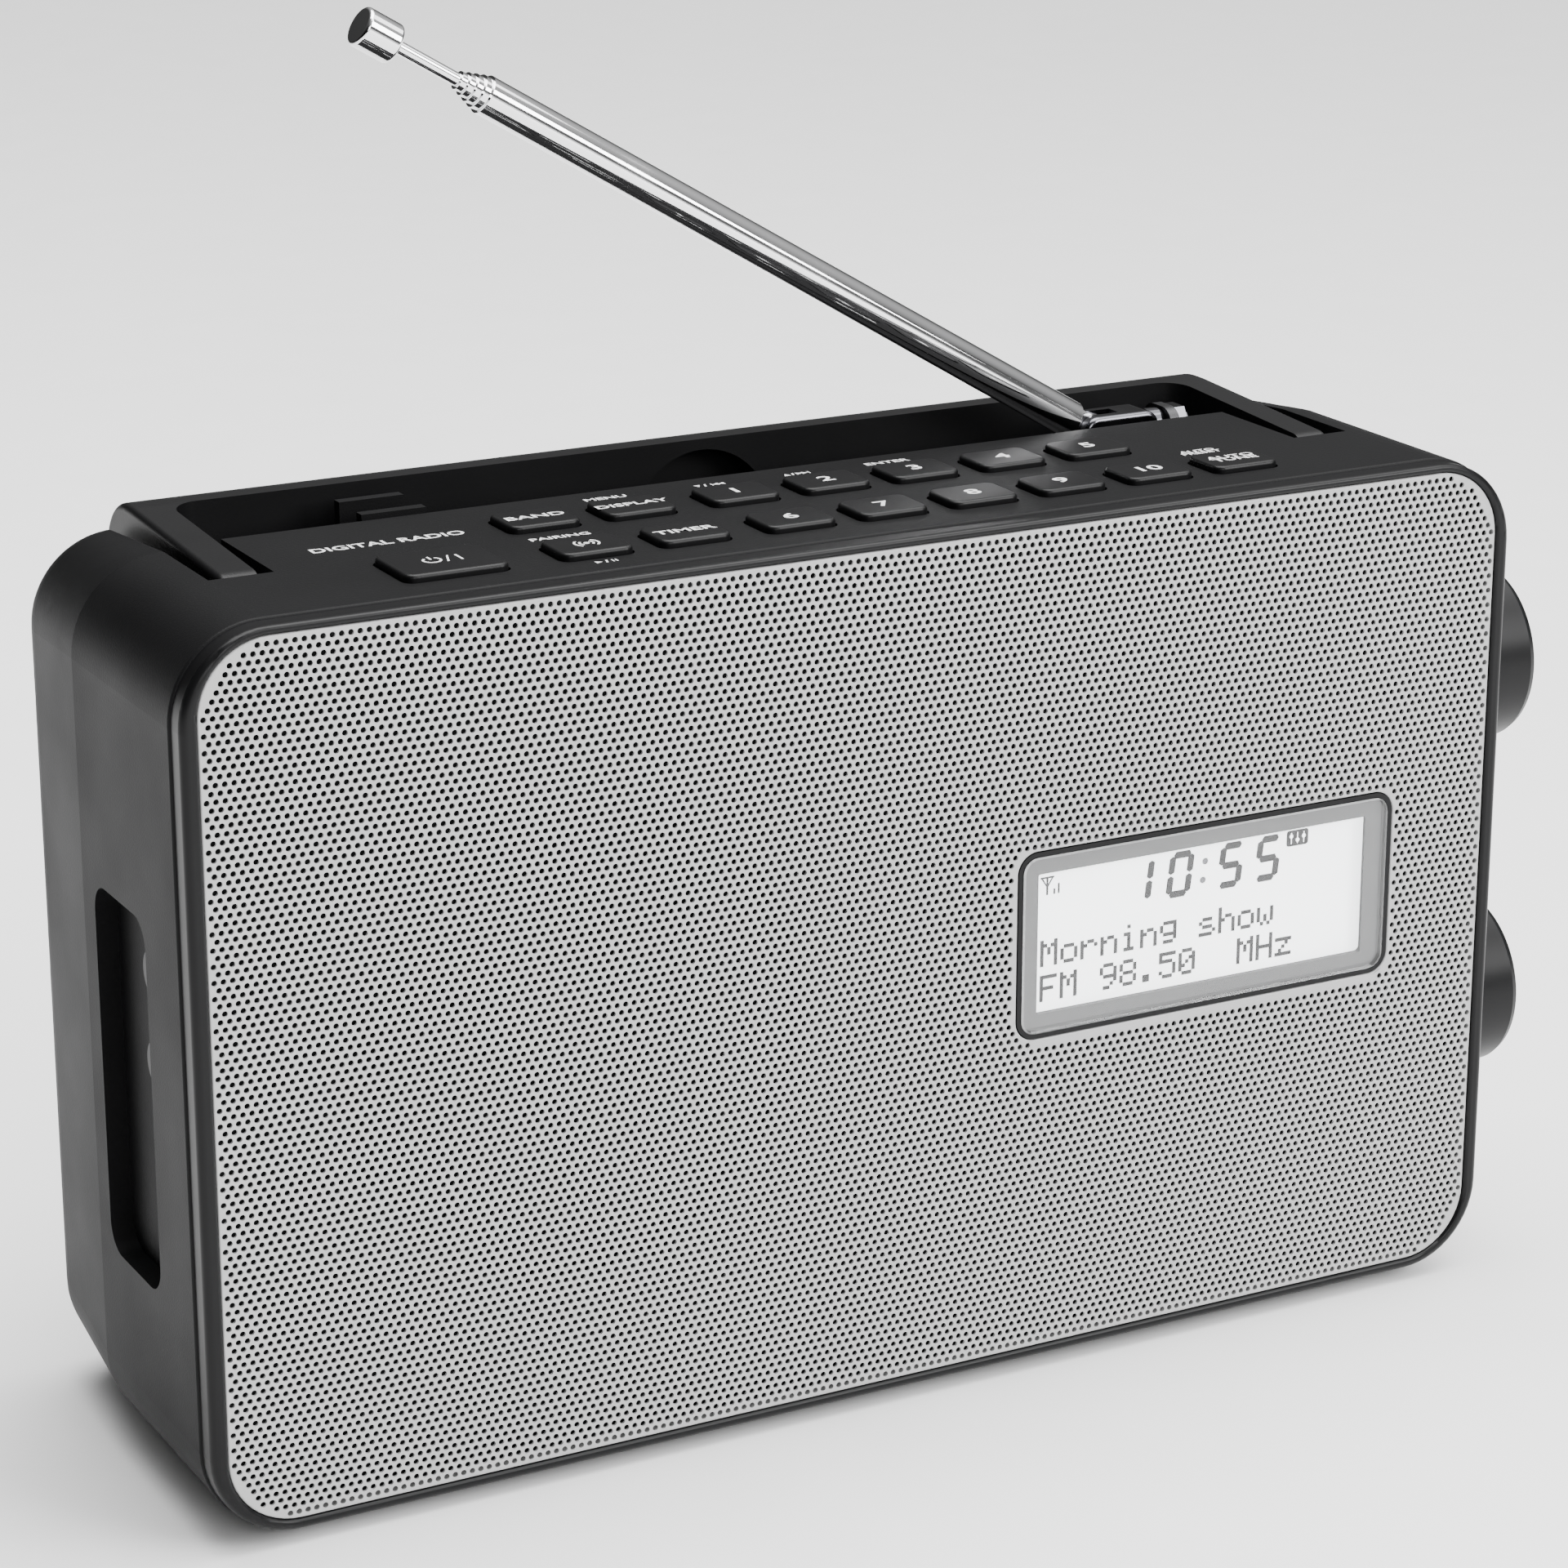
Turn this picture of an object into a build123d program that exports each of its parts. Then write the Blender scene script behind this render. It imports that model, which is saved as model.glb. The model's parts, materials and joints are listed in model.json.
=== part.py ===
"""A portable tabletop radio: wide cabinet, perforated front, carrying handle and telescopic antenna.

Everything is laid out in the cabinet's own frame, in millimetres: X = 0 on the cabinet's centre
line, Y = 0 at the front face and running back, Z = 0 on the table. write_part() then shifts each
piece so that the row's origin is the bottom centre of the whole object's box.
"""
from build123d import *
import os
from math import cos, radians

# --- cabinet ------------------------------------------------------------------------------
CABINET_W = 256.0
CABINET_H = 157.0
CABINET_D = 86.0
CORNER_R = 16.0
WALL = 2.5
FOOT_H = 2.0
TOP_Z = FOOT_H + CABINET_H
MID_Z = FOOT_H + CABINET_H / 2
FRAME_D = 4.5              # depth of the front frame that rims the grille
FRAME_INSET = 0.4          # step between the frame and the cabinet, which reads as a groove
BAFFLE_Y = FRAME_D + WALL  # back of the baffle plate
SEAM_Y = 49.5              # where the front and rear halves meet
REAR_INSET = 3.0           # draft of the rear half, from the seam to the back face
REAR_ROUND = 12.0
WRAP_Z = 141.7             # the top panel wraps both corners down to here
PANEL_REAR_Y = 53.0        # rear edge of the top panel, at the antenna trough

# --- grille and display -------------------------------------------------------------------
GRILLE_W = 249.2
GRILLE_H = 152.5
GRILLE_R = 12.6
GRILLE_Z = 80.8            # centre height
SHEET = 0.8
LENS_W = 77.3
LENS_H = 32.9
LENS_X = 64.8
LENS_Z = 81.4
LENS_R = 2.9

# --- keys ---------------------------------------------------------------------------------
KEY_W = 13.2
KEY_D = 10.5
POWER_W = 18.6
POWER_D = 14.7
KEY_GAP = 0.35             # clearance to the panel on each side
KEY_PROUD = 1.3
KEY_TRAVEL = 0.8
KEY_LIP = 1.0              # how far the flange under the panel reaches past the cap
KEY_FOOT_Z = 155.25
REAR_ROW_Y = 37.6
FRONT_ROW_Y = 17.4
FIRST_COLUMN_X = -11.0
COLUMN_PITCH = 17.9
BOARD_Z = 148.9            # underside of the key board
BOARD_T = 1.6


def column(number):
    """Centre of a number key's column, counted from 0."""
    return FIRST_COLUMN_X + COLUMN_PITCH * number


# name: (centre x, centre y, width, depth)
KEYS = {
    "power_key": (-74.5, 19.3, POWER_W, POWER_D),
    "band_key": (-49.2, REAR_ROW_Y, KEY_W, KEY_D),
    "menu_key": (-31.0, REAR_ROW_Y, KEY_W, KEY_D),
    "wireless_key": (-49.2, FRONT_ROW_Y, KEY_W, KEY_D),
    "timer_key": (-31.0, FRONT_ROW_Y, KEY_W, KEY_D),
    "auto_tune_key": (column(5), FRONT_ROW_Y, KEY_W, KEY_D),
}
for index in range(5):
    KEYS[f"preset_{index + 1}_key"] = (column(index), REAR_ROW_Y, KEY_W, KEY_D)
    KEYS[f"preset_{index + 6}_key"] = (column(index), FRONT_ROW_Y, KEY_W, KEY_D)

# --- knobs --------------------------------------------------------------------------------
KNOB_R = 16.9
KNOB_FACE_X = 140.4
KNOB_BACK_X = CABINET_W / 2 + 0.6
KNOB_Y = 22.8
KNOB_Z = {"volume": 115.4, "tuning": 50.0}
SHAFT_R = 3.0
RUNNING = 0.05             # radial clearance of a shaft that turns in its bearing

# --- handle -------------------------------------------------------------------------------
ARM_OUT = 108.6            # half width over the arms
ARM_IN = 102.0
SLOT_OUT = 111.2
SLOT_IN = 99.8
SLOT_FRONT_Y = 29.2
SLOT_FLOOR_Z = 146.5
POCKET_WALL = 1.5
HANDLE_PIVOT_Y = 33.0
HANDLE_PIVOT_Z = 155.6
HANDLE_BOSS_R = 3.3
HANDLE_PIN_R = 1.5
BAR_FRONT_Y = 72.0
BAR_TOP_Z = 161.0
BAR_FOOT_Z = 149.8
BAR_ROUND = 11.0
ARM_BEND_Y = 48.0          # where the arm's underside starts to rise to its boss
SCOOP_R = 14.0             # finger scoop in the middle of the bar
SCOOP_Z = 145.0
SCOOP_DEPTH = 6.0

# --- antenna ------------------------------------------------------------------------------
TROUGH_FLOOR_Z = 149.0
MAST_X = 76.0              # tilt pivot
MAST_Y = 60.0
MAST_Z = 156.2
MAST_ELEVATION = 30.4      # degrees above level, as it stands
SECTION_R = [3.5, 3.05, 2.6, 2.15, 1.7, 1.2]
TUBE_END = 142.7           # distance from the pivot to the end of the outer tube
COLLAR_STEP = 1.35         # each inner tube shows this much past the one outside it
TIP_START = 161.4
TIP_END = 168.5
TIP_R = 3.6
TUBE_START = 6.0
TONGUE_R = 3.5
TONGUE_T = 3.0
PIVOT_PIN_R = 1.25
SWIVEL_W = 8.0
SWIVEL_H = 7.6
SWIVEL_X0 = 72.0
SWIVEL_X1 = 88.0
SWIVEL_SHAFT_R = 2.5
EAR_X = 90.0               # bracket ear, left face
EAR_T = 2.0

# --- loudspeaker --------------------------------------------------------------------------
SPEAKER_X = -58.0
SPEAKER_Z = 78.0
SPEAKER_R = 50.0
CONE_R = 41.0
MAGNET_R = 25.0
SPEAKER_SCREW_R = 46.8     # radius of the screw circle in the flange
FLANGE_T = 1.4
FLANGE_BACK_Y = BAFFLE_Y + FLANGE_T

# --- boards, power and sockets ------------------------------------------------------------
SCREW_X = 108.0
SCREW_Z = (18.0, 128.0)
SCREW_R = 1.5
BAY = (-60.0, 4.0, 34.0, 107.0)      # battery box: x0, x1, z0, z1 outside
BAY_FLOOR_Y = 62.0
BAY_WALL = 1.8
DOOR_T = 2.2
DOOR_GAP = 0.3
DOOR_CORNER = 1.7
INLET_X = 75.0
INLET_Z = 27.0
PIN_PITCH = 8.6
RECESS_Y = (20.0, 44.0)            # side recess for the sockets
RECESS_Z = (40.0, 106.0)
RECESS_DEPTH = 4.0
JACK_Y = 28.0
JACK_Z = {"headphone_jack": 94.0, "aux_jack": 78.0}
JACK_BORE_R = 1.8
FOOT_X = 93.0
FOOT_Y = (9.5, 74.0)
FOOT_R = 4.5

MAIN_BOARD = (-5.0, 98.0, 26.0, 122.0)      # x0, x1, z0, z1
MAIN_BOARD_Y = 36.0
MAIN_BOARD_BACK_Y = MAIN_BOARD_Y + BOARD_T
BOARD_HOLE_INSET = 5.0
BOARD_HOLE_R = 1.6
# x0, x1, z0, z1, height off the board
TUNER_CAN = (10.0, 50.0, 84.0, 114.0, 5.0)
PROCESSOR = (62.0, 76.0, 86.0, 100.0, 1.4)
AMPLIFIER = (20.0, 30.0, 50.0, 60.0, 2.4)
HEAT_SINK = (36.0, 66.0, 44.0, 48.0, 14.4)
# x, z, radius, height
CAPACITORS = [
    (80, 40, 5.0, 16.4), (80, 54, 5.0, 16.4), (84, 68, 3.2, 10.4), (76, 68, 3.2, 10.4), (20, 72, 4.0, 12.4),
]
CORE = (32.0, 68.0, 56.0, 74.0, 52.0, 86.0)  # x0, x1, y0, y1, z0, z1
CORE_LEG = 6.0
COIL_REACH = 6.0
CELL_R = 8.0
CONTACT_D = 12.0
CONTACT_H = 14.0
CONTACT_T = 0.5
BUTTON_R = 2.4
BUTTON_T = 0.9
SPRING_R = 4.6
SPRING_TIP_R = 2.6
SPRING_L = 5.0

CUT_LOW_Z = TROUGH_FLOOR_Z - 9.0     # a cut that clears the handle and the swivel, below and above
CUT_HIGH_Z = BAR_TOP_Z + 9.0

ORIGIN_SHIFT = Location((-(KNOB_FACE_X - CABINET_W / 2) / 2, -CABINET_D / 2, 0))


# --- small helpers ------------------------------------------------------------------------
def front_view(sketch, y0, y1):
    """A sketch in x and z, carried from y0 back to y1."""
    return extrude(Plane.XZ.offset(-y1) * sketch, amount=y1 - y0)


def side_view(sketch, x0, x1):
    """A sketch in y and z, carried from x0 to x1."""
    return extrude(Plane.YZ.offset(x0) * sketch, amount=x1 - x0)


def top_view(sketch, z0, z1):
    """A sketch in x and y, carried from z0 up to z1."""
    return extrude(Plane.XY.offset(z0) * sketch, amount=z1 - z0)


def block(x0, x1, y0, y1, z0, z1):
    """A plain box between two corners."""
    middle = Pos((x0 + x1) / 2, (y0 + y1) / 2, (z0 + z1) / 2)
    return middle * Box(x1 - x0, y1 - y0, z1 - z0)


def rod_x(radius, x0, x1, y, z):
    return side_view(Pos(y, z) * Circle(radius), x0, x1)


def rod_y(radius, y0, y1, x, z):
    return front_view(Pos(x, z) * Circle(radius), y0, y1)


def rod_z(radius, z0, z1, x, y):
    return top_view(Pos(x, y) * Circle(radius), z0, z1)


def rounded(width, height, radius, x, z):
    """A rounded rectangle in a view, centred at x, z."""
    return Pos(x, z) * RectangleRounded(width, height, radius)


def outline(inset=0.0):
    """The cabinet's front outline, drawn in by inset."""
    return rounded(CABINET_W - 2 * inset, CABINET_H - 2 * inset, CORNER_R - inset, 0, MID_Z)


def grille_outline(inset=0.0):
    """The grille's outline, drawn in by inset."""
    return rounded(GRILLE_W - 2 * inset, GRILLE_H - 2 * inset, GRILLE_R - inset, 0, GRILLE_Z)


def window(margin=0.0):
    """The display lens's outline, let out by margin."""
    return rounded(LENS_W + 2 * margin, LENS_H + 2 * margin, LENS_R + margin, LENS_X, LENS_Z)


def turned(points, place):
    """A lathe-turned solid from radius and length points, its axis set by place."""
    return place * revolve(Plane.XZ * make_face(Polyline(points, close=True)), Axis.Z)


def both_sides(shape):
    """The shape and its mirror image across the centre line."""
    return shape + mirror(shape, Plane.YZ)


def corner_spots():
    """The four places where the halves are screwed together."""
    return [(side * SCREW_X, z) for side in (-1, 1) for z in SCREW_Z]


# --- cabinet ------------------------------------------------------------------------------
def front_shell():
    """Front half of the cabinet with its baffle plate, before the top panel is parted off."""
    skin = front_view(outline(), FRAME_D, SEAM_Y)
    front_edges = skin.faces().sort_by(Axis.Y)[0].edges()
    skin = fillet(front_edges, 0.6)
    return skin - front_view(outline(WALL), BAFFLE_Y, SEAM_Y)


def front_frame():
    """The rounded rim round the grille, with a ledge that the grille is pressed on to."""
    ring = front_view(outline(FRAME_INSET) - grille_outline(-0.1), 0, FRAME_D)
    front = ring.faces().sort_by(Axis.Y)[0]
    ring = fillet(front.outer_wire().edges(), 1.4)
    front = ring.faces().sort_by(Axis.Y)[0]
    ring = fillet(front.inner_wires()[0].edges(), 0.7)
    ledge = front_view(outline(FRAME_INSET) - grille_outline(2.5), 3.1, FRAME_D)
    return ring + ledge


def speaker_grille():
    """One pressed sheet with its edge folded back all round and round the display."""
    sheet = front_view(grille_outline() - window(1.1), 0.5, 0.5 + SHEET)
    hem = front_view(grille_outline() - grille_outline(SHEET), 0.5 + SHEET, 3.0)
    window_hem = front_view(window(1.1 + SHEET) - window(1.1), 0.5 + SHEET, 2.6)
    return sheet + hem + window_hem


def front_cabinet():
    """Front half below the top panel: baffle, sides, floor, side recess and screw posts."""
    shell = front_shell() - block(-200, 200, -1, 100, WRAP_Z, 200)
    recess_y0, recess_y1 = RECESS_Y
    recess_z0, recess_z1 = RECESS_Z
    side_x = -CABINET_W / 2
    backing = block(
        side_x + 1, side_x + RECESS_DEPTH + WALL,
        recess_y0 - 2, recess_y1 + 2, recess_z0 - 2, recess_z1 + 2,
    )
    recess_face = Pos((recess_y0 + recess_y1) / 2, (recess_z0 + recess_z1) / 2)
    recess_face *= RectangleRounded(recess_y1 - recess_y0, recess_z1 - recess_z0, 5)
    shell = shell + backing - side_view(recess_face, side_x - 1, side_x + RECESS_DEPTH)
    for z in JACK_Z.values():
        shell -= rod_x(4.0, side_x, side_x + 10, JACK_Y, z)
    for z in KNOB_Z.values():
        shell -= rod_x(4.2, CABINET_W / 2 - WALL - 1, CABINET_W / 2 + 1, KNOB_Y, z)
    shell -= rod_y(CONE_R + 1, 0, BAFFLE_Y + 1, SPEAKER_X, SPEAKER_Z)
    shell -= front_view(rounded(76, 33, 2, LENS_X, LENS_Z), 0, BAFFLE_Y + 1)
    for x, z in corner_spots():
        shell += rod_y(4.5, BAFFLE_Y, 54, x, z) - rod_y(SCREW_R, 44, 55, x, z)
    return shell


def top_panel():
    """Key panel: wraps both top corners, with the key openings and the handle's two pockets."""
    panel = front_shell() & block(-200, 200, -1, 100, WRAP_Z, 200)
    slot = block(SLOT_IN, SLOT_OUT, SLOT_FRONT_Y, SEAM_Y + 1, SLOT_FLOOR_Z, TOP_Z + 1)
    pocket = block(
        SLOT_IN - POCKET_WALL, SLOT_OUT + POCKET_WALL,
        SLOT_FRONT_Y - POCKET_WALL, SEAM_Y, SLOT_FLOOR_Z - POCKET_WALL, TOP_Z - WALL,
    )
    pin_hole = rod_x(HANDLE_PIN_R, SLOT_IN - 5, SLOT_OUT + 5, HANDLE_PIVOT_Y, HANDLE_PIVOT_Z)
    tongue = block(-SLOT_IN, SLOT_IN, SEAM_Y - 1, PANEL_REAR_Y, TOP_Z - WALL, TOP_Z)
    skirt = block(-SLOT_IN, SLOT_IN, PANEL_REAR_Y - 2, PANEL_REAR_Y, TROUGH_FLOOR_Z, TOP_Z - 1)
    panel = panel + both_sides(pocket) + tongue + skirt
    panel -= both_sides(slot)
    panel -= both_sides(pin_hole)
    for x, y, width, depth in KEYS.values():
        opening = RectangleRounded(width + 2 * KEY_GAP, depth + 2 * KEY_GAP, 2.2)
        panel -= top_view(Pos(x, y) * opening, TOP_Z - WALL - 1, TOP_Z + 1)
    for x in (-60.0, -21.0, 34.0, 86.0):
        panel += rod_z(2.0, BOARD_Z + BOARD_T, TOP_Z - WALL, x, 27.5)
    return panel


def rear_solid(inset=0.0):
    """The rear half as one block: its sides draw in a little and its back edge is rounded."""
    back_y = CABINET_D - inset
    start = outline(inset)
    end = rounded(
        CABINET_W - 2 * REAR_INSET - 2 * inset,
        CABINET_H - 2 * REAR_INSET - 2 * inset,
        CORNER_R - inset / 2, 0, MID_Z,
    )
    solid = loft([Plane.XZ.offset(-SEAM_Y) * start, Plane.XZ.offset(-back_y) * end], ruled=True)
    back = solid.faces().sort_by(Axis.Y)[-1]
    return fillet(back.edges(), REAR_ROUND - inset)


def rear_cabinet():
    """Rear half: antenna trough along the top, battery opening, inlet opening, screw wells."""
    outside = rear_solid()
    shell = outside - rear_solid(WALL)
    trough = block(-SLOT_OUT, SLOT_OUT, SEAM_Y - 1, CABINET_D + 1, TROUGH_FLOOR_Z, TOP_Z + 1)
    tray = block(
        -SLOT_OUT - 2, SLOT_OUT + 2, SEAM_Y, CABINET_D, TROUGH_FLOOR_Z - 2, TOP_Z,
    )
    shell = (shell + (tray & outside)) - trough
    for x, z in corner_spots():
        post = rod_y(5.5, 54, CABINET_D, x, z) & outside
        shell += post
        shell -= rod_y(3.6, 74, CABINET_D + 1, x, z)
        shell -= rod_y(SCREW_R + 0.3, 53, 75, x, z)
    x0, x1, z0, z1 = BAY
    shell -= front_view(
        rounded(x1 - x0 - 4, z1 - z0 - 4, 2, (x0 + x1) / 2, (z0 + z1) / 2),
        CABINET_D - WALL - 1, CABINET_D + 1,
    )
    shell -= front_view(
        rounded(20, 12, 2, INLET_X, INLET_Z), CABINET_D - WALL - 1, CABINET_D + 1,
    )
    return shell + antenna_cradle()


def antenna_cradle():
    """The open clip in the trough that the folded mast drops into."""
    cradle = block(-74, -62, MAST_Y - 6, MAST_Y + 6, TROUGH_FLOOR_Z, TOP_Z + 0.8)
    bed = rod_x(SECTION_R[0] + 0.3, -75, -61, MAST_Y, MAST_Z)
    mouth = block(-75, -61, MAST_Y - 3.8, MAST_Y + 3.8, MAST_Z, TOP_Z + 2)
    return cradle - bed - mouth


def case_screws():
    """Four screws that hold the halves together, seen in deep wells from the back."""
    screws = []
    for x, z in corner_spots():
        head = rod_y(3.1, 74, 76.2, x, z) - front_view(Pos(x, z) * Rectangle(4, 0.9), 75.2, 77)
        head -= front_view(Pos(x, z) * Rectangle(0.9, 4), 75.2, 77)
        screws.append(head + rod_y(SCREW_R, 44, 74, x, z))
    return Compound(screws)


def rubber_feet():
    """Four round pads under the cabinet; the rear two follow its rising floor."""
    body = rear_solid()
    pads = []
    for x in (-FOOT_X, FOOT_X):
        for y in FOOT_Y:
            pad = rod_z(FOOT_R, 0, FOOT_H if y < SEAM_Y else FOOT_H + REAR_INSET + 1, x, y)
            pad = chamfer(pad.edges().sort_by(Axis.Z)[0], 0.4)
            pads.append(pad if y < SEAM_Y else (pad - body).solid())
    return Compound(pads)


# --- display ------------------------------------------------------------------------------
def display_lens():
    lens = front_view(window(), 0.2, 2.3)
    return chamfer(lens.faces().sort_by(Axis.Y)[0].edges(), 0.3)


def lcd_holder():
    """Frame that carries the lens in front and the display panel behind."""
    rim = front_view(window(0.9), 0.6, FRAME_D)
    flange = front_view(rounded(85, 41, 4, LENS_X, LENS_Z), 2.7, FRAME_D)
    pocket = front_view(window(0.1), 0, 2.4)
    sight = front_view(rounded(71, 27.5, 1, LENS_X, LENS_Z), 0, FRAME_D + 1)
    return rim + flange - pocket - sight


def lcd_panel():
    return front_view(rounded(74, 31, 0.8, LENS_X, LENS_Z), FRAME_D, BAFFLE_Y + 0.4)


# --- keys ---------------------------------------------------------------------------------
def key_cap(x, y, width, depth):
    """A cap with a soft top edge and a flange that keeps it under the panel."""
    cap = top_view(Pos(x, y) * RectangleRounded(width, depth, 1.9), KEY_FOOT_Z, TOP_Z + KEY_PROUD)
    cap = fillet(cap.faces().sort_by(Axis.Z)[-1].edges(), 0.7)
    flange = RectangleRounded(width + 2 * KEY_LIP, depth + 2 * KEY_LIP, 2.4)
    return cap + top_view(Pos(x, y) * flange, KEY_FOOT_Z, KEY_FOOT_Z + 1.0)


def key_board():
    return block(-88, 88, 8.5, 47.5, BOARD_Z, BOARD_Z + BOARD_T)


def key_switches():
    """One push switch under each key."""
    board_top = BOARD_Z + BOARD_T
    switches = []
    for x, y, _, _ in KEYS.values():
        body = block(x - 3, x + 3, y - 3, y + 3, board_top, board_top + 3.4)
        switches.append(body + rod_z(1.7, board_top + 3.4, board_top + 3.9, x, y))
    return Compound(switches)


# --- knobs and their controls -------------------------------------------------------------
def along_x(y, z):
    """Turns a lathe axis to point along +X through y, z."""
    return Location((0, y, z)) * Rotation(0, 90, 0)


def knob(z):
    """A hollow round knob with a hub on the shaft."""
    profile = [
        (SHAFT_R, KNOB_BACK_X + 0.6), (6, KNOB_BACK_X + 0.6), (6, 137.4), (KNOB_R - 2.4, 137.4),
        (KNOB_R - 2, KNOB_BACK_X), (KNOB_R, KNOB_BACK_X), (KNOB_R - 0.3, KNOB_FACE_X - 1.6),
        (KNOB_R - 0.8, KNOB_FACE_X - 0.5), (KNOB_R - 1.9, KNOB_FACE_X),
        (0, KNOB_FACE_X), (0, 138.2), (SHAFT_R, 138.2),
    ]
    return turned(profile, along_x(KNOB_Y, z))


def control_shaft(z):
    return rod_x(SHAFT_R, 116, 138.2, KNOB_Y, z)


def control(z):
    """A rotary control: square body and a round bushing through the cabinet's side."""
    body = block(112, 125.3, KNOB_Y - 7, KNOB_Y + 7, z - 7, z + 7)
    bushing = rod_x(4.1, 125.3, 127.6, KNOB_Y, z)
    return body + bushing - rod_x(SHAFT_R + RUNNING, 115.5, 128, KNOB_Y, z)


# --- loudspeaker --------------------------------------------------------------------------
SPEAKER_AXIS = Location((SPEAKER_X, 0, SPEAKER_Z)) * Rotation(-90, 0, 0)


def speaker_basket():
    """Pressed steel frame: flange, open ribs and back plate."""
    profile = [
        (CONE_R, BAFFLE_Y), (SPEAKER_R, BAFFLE_Y), (SPEAKER_R, FLANGE_BACK_Y), (43.8, FLANGE_BACK_Y),
        (28, 29), (28, 30.5), (13, 30.5), (13, 29.3), (27, 29.3), (42.2, 9.6), (CONE_R, 9.2),
    ]
    basket = turned(profile, SPEAKER_AXIS)
    gap = Pos(0, 0, 20) * Box(120, 16, 14)
    for turn in (45, 135):
        basket -= SPEAKER_AXIS * Rotation(0, 0, turn) * gap
    for turn in (0, 90, 180, 270):
        place = SPEAKER_AXIS * Rotation(0, 0, turn + 45) * Pos(SPEAKER_SCREW_R, 0, BAFFLE_Y)
        basket -= place * Cylinder(1.6, 4)
    return basket


def speaker_cone():
    """Paper cone with its dust dome."""
    profile = [
        (CONE_R, 8.2), (CONE_R, 9.0), (37.0, 10.4), (13, 24.8), (12, 24.8), (11.6, 22.4),
        (8, 20.2), (0, 18.8), (0, 18.0), (8.2, 19.4), (12.4, 22.0), (37.0, 8.8), (39.0, 7.6),
    ]
    return turned(profile, SPEAKER_AXIS)


def speaker_magnet():
    """Ring magnet between its plates, with the pole piece through the back plate."""
    profile = [(0, 26.5), (9, 26.5), (9, 30.5), (MAGNET_R, 30.5), (MAGNET_R, 43), (0, 43)]
    return turned(profile, SPEAKER_AXIS)


def speaker_screws():
    """Four screws through the flange into the baffle."""
    screws = []
    for turn in (0, 90, 180, 270):
        place = SPEAKER_AXIS * Rotation(0, 0, turn + 45) * Pos(SPEAKER_SCREW_R, 0, FLANGE_BACK_Y)
        shank = Pos(0, 0, -FLANGE_T / 2) * Cylinder(1.5, FLANGE_T)
        screws.append(place * (Pos(0, 0, 0.8) * Cylinder(2.6, 1.6) + shank))
    return Compound(screws)


# --- handle -------------------------------------------------------------------------------
def handle():
    """U-shaped carrying handle: two arms and a rounded bar along the rear top edge."""
    arm_top_z = HANDLE_PIVOT_Z + HANDLE_BOSS_R
    arm_foot_z = HANDLE_PIVOT_Z - HANDLE_BOSS_R
    arc_start = (CABINET_D - BAR_ROUND, BAR_TOP_Z)
    arc_end = (CABINET_D, BAR_TOP_Z - BAR_ROUND)
    middle = BAR_ROUND * cos(radians(45))
    arc_middle = (CABINET_D - BAR_ROUND + middle, BAR_TOP_Z - BAR_ROUND + middle)
    profile = [
        Line((HANDLE_PIVOT_Y, arm_top_z), (BAR_FRONT_Y, BAR_TOP_Z)),
        Line((BAR_FRONT_Y, BAR_TOP_Z), arc_start),
        ThreePointArc(arc_start, arc_middle, arc_end),
        Line(arc_end, (CABINET_D, BAR_FOOT_Z)),
        Line((CABINET_D, BAR_FOOT_Z), (ARM_BEND_Y, BAR_FOOT_Z)),
        Line((ARM_BEND_Y, BAR_FOOT_Z), (HANDLE_PIVOT_Y, arm_foot_z)),
        Line((HANDLE_PIVOT_Y, arm_foot_z), (HANDLE_PIVOT_Y, arm_top_z)),
    ]
    bow = side_view(make_face(Curve() + profile), -ARM_OUT, ARM_OUT)
    bow += rod_x(HANDLE_BOSS_R, -ARM_OUT, ARM_OUT, HANDLE_PIVOT_Y, HANDLE_PIVOT_Z)
    ends = bow.faces().sort_by(Axis.X)
    bow = fillet(ends[0].edges() + ends[-1].edges(), 1.2)
    hollow = block(-ARM_IN, ARM_IN, 20, BAR_FRONT_Y, CUT_LOW_Z, CUT_HIGH_Z)
    hollow = fillet(hollow.edges().filter_by(Axis.Z).sort_by(Axis.Y)[-2:], 5.0)
    bow = bow - hollow
    bow -= rod_x(HANDLE_PIN_R + RUNNING, -ARM_OUT - 1, ARM_OUT + 1, HANDLE_PIVOT_Y, HANDLE_PIVOT_Z)
    return bow - rod_y(SCOOP_R, BAR_FRONT_Y - 1, BAR_FRONT_Y + SCOOP_DEPTH, 0, SCOOP_Z)


def handle_pins():
    """The two pins that the handle turns on, held in the walls of its pockets."""
    x0, x1 = SLOT_IN - POCKET_WALL, SLOT_OUT + POCKET_WALL
    pin = rod_x(HANDLE_PIN_R, x0, x1, HANDLE_PIVOT_Y, HANDLE_PIVOT_Z)
    return Compound([pin, mirror(pin, Plane.YZ)])


# --- antenna ------------------------------------------------------------------------------
MAST_PLACE = Location((MAST_X, MAST_Y, MAST_Z)) * Rotation(0, MAST_ELEVATION - 90, 0)


def antenna_bracket():
    """Steel angle screwed in the trough; its ear is the swivel's bearing."""
    foot = block(EAR_X, EAR_X + 9, MAST_Y - 5, MAST_Y + 5, TROUGH_FLOOR_Z, TROUGH_FLOOR_Z + 1.6)
    ear = block(EAR_X, EAR_X + EAR_T, MAST_Y - 5, MAST_Y + 5, TROUGH_FLOOR_Z, TOP_Z + 1)
    ear = fillet(ear.edges().filter_by(Axis.X).sort_by(Axis.Z)[-2:], 3.5)
    bearing = rod_x(SWIVEL_SHAFT_R + RUNNING, EAR_X - 1, EAR_X + EAR_T + 1, MAST_Y, MAST_Z)
    return foot + ear - bearing


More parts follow.
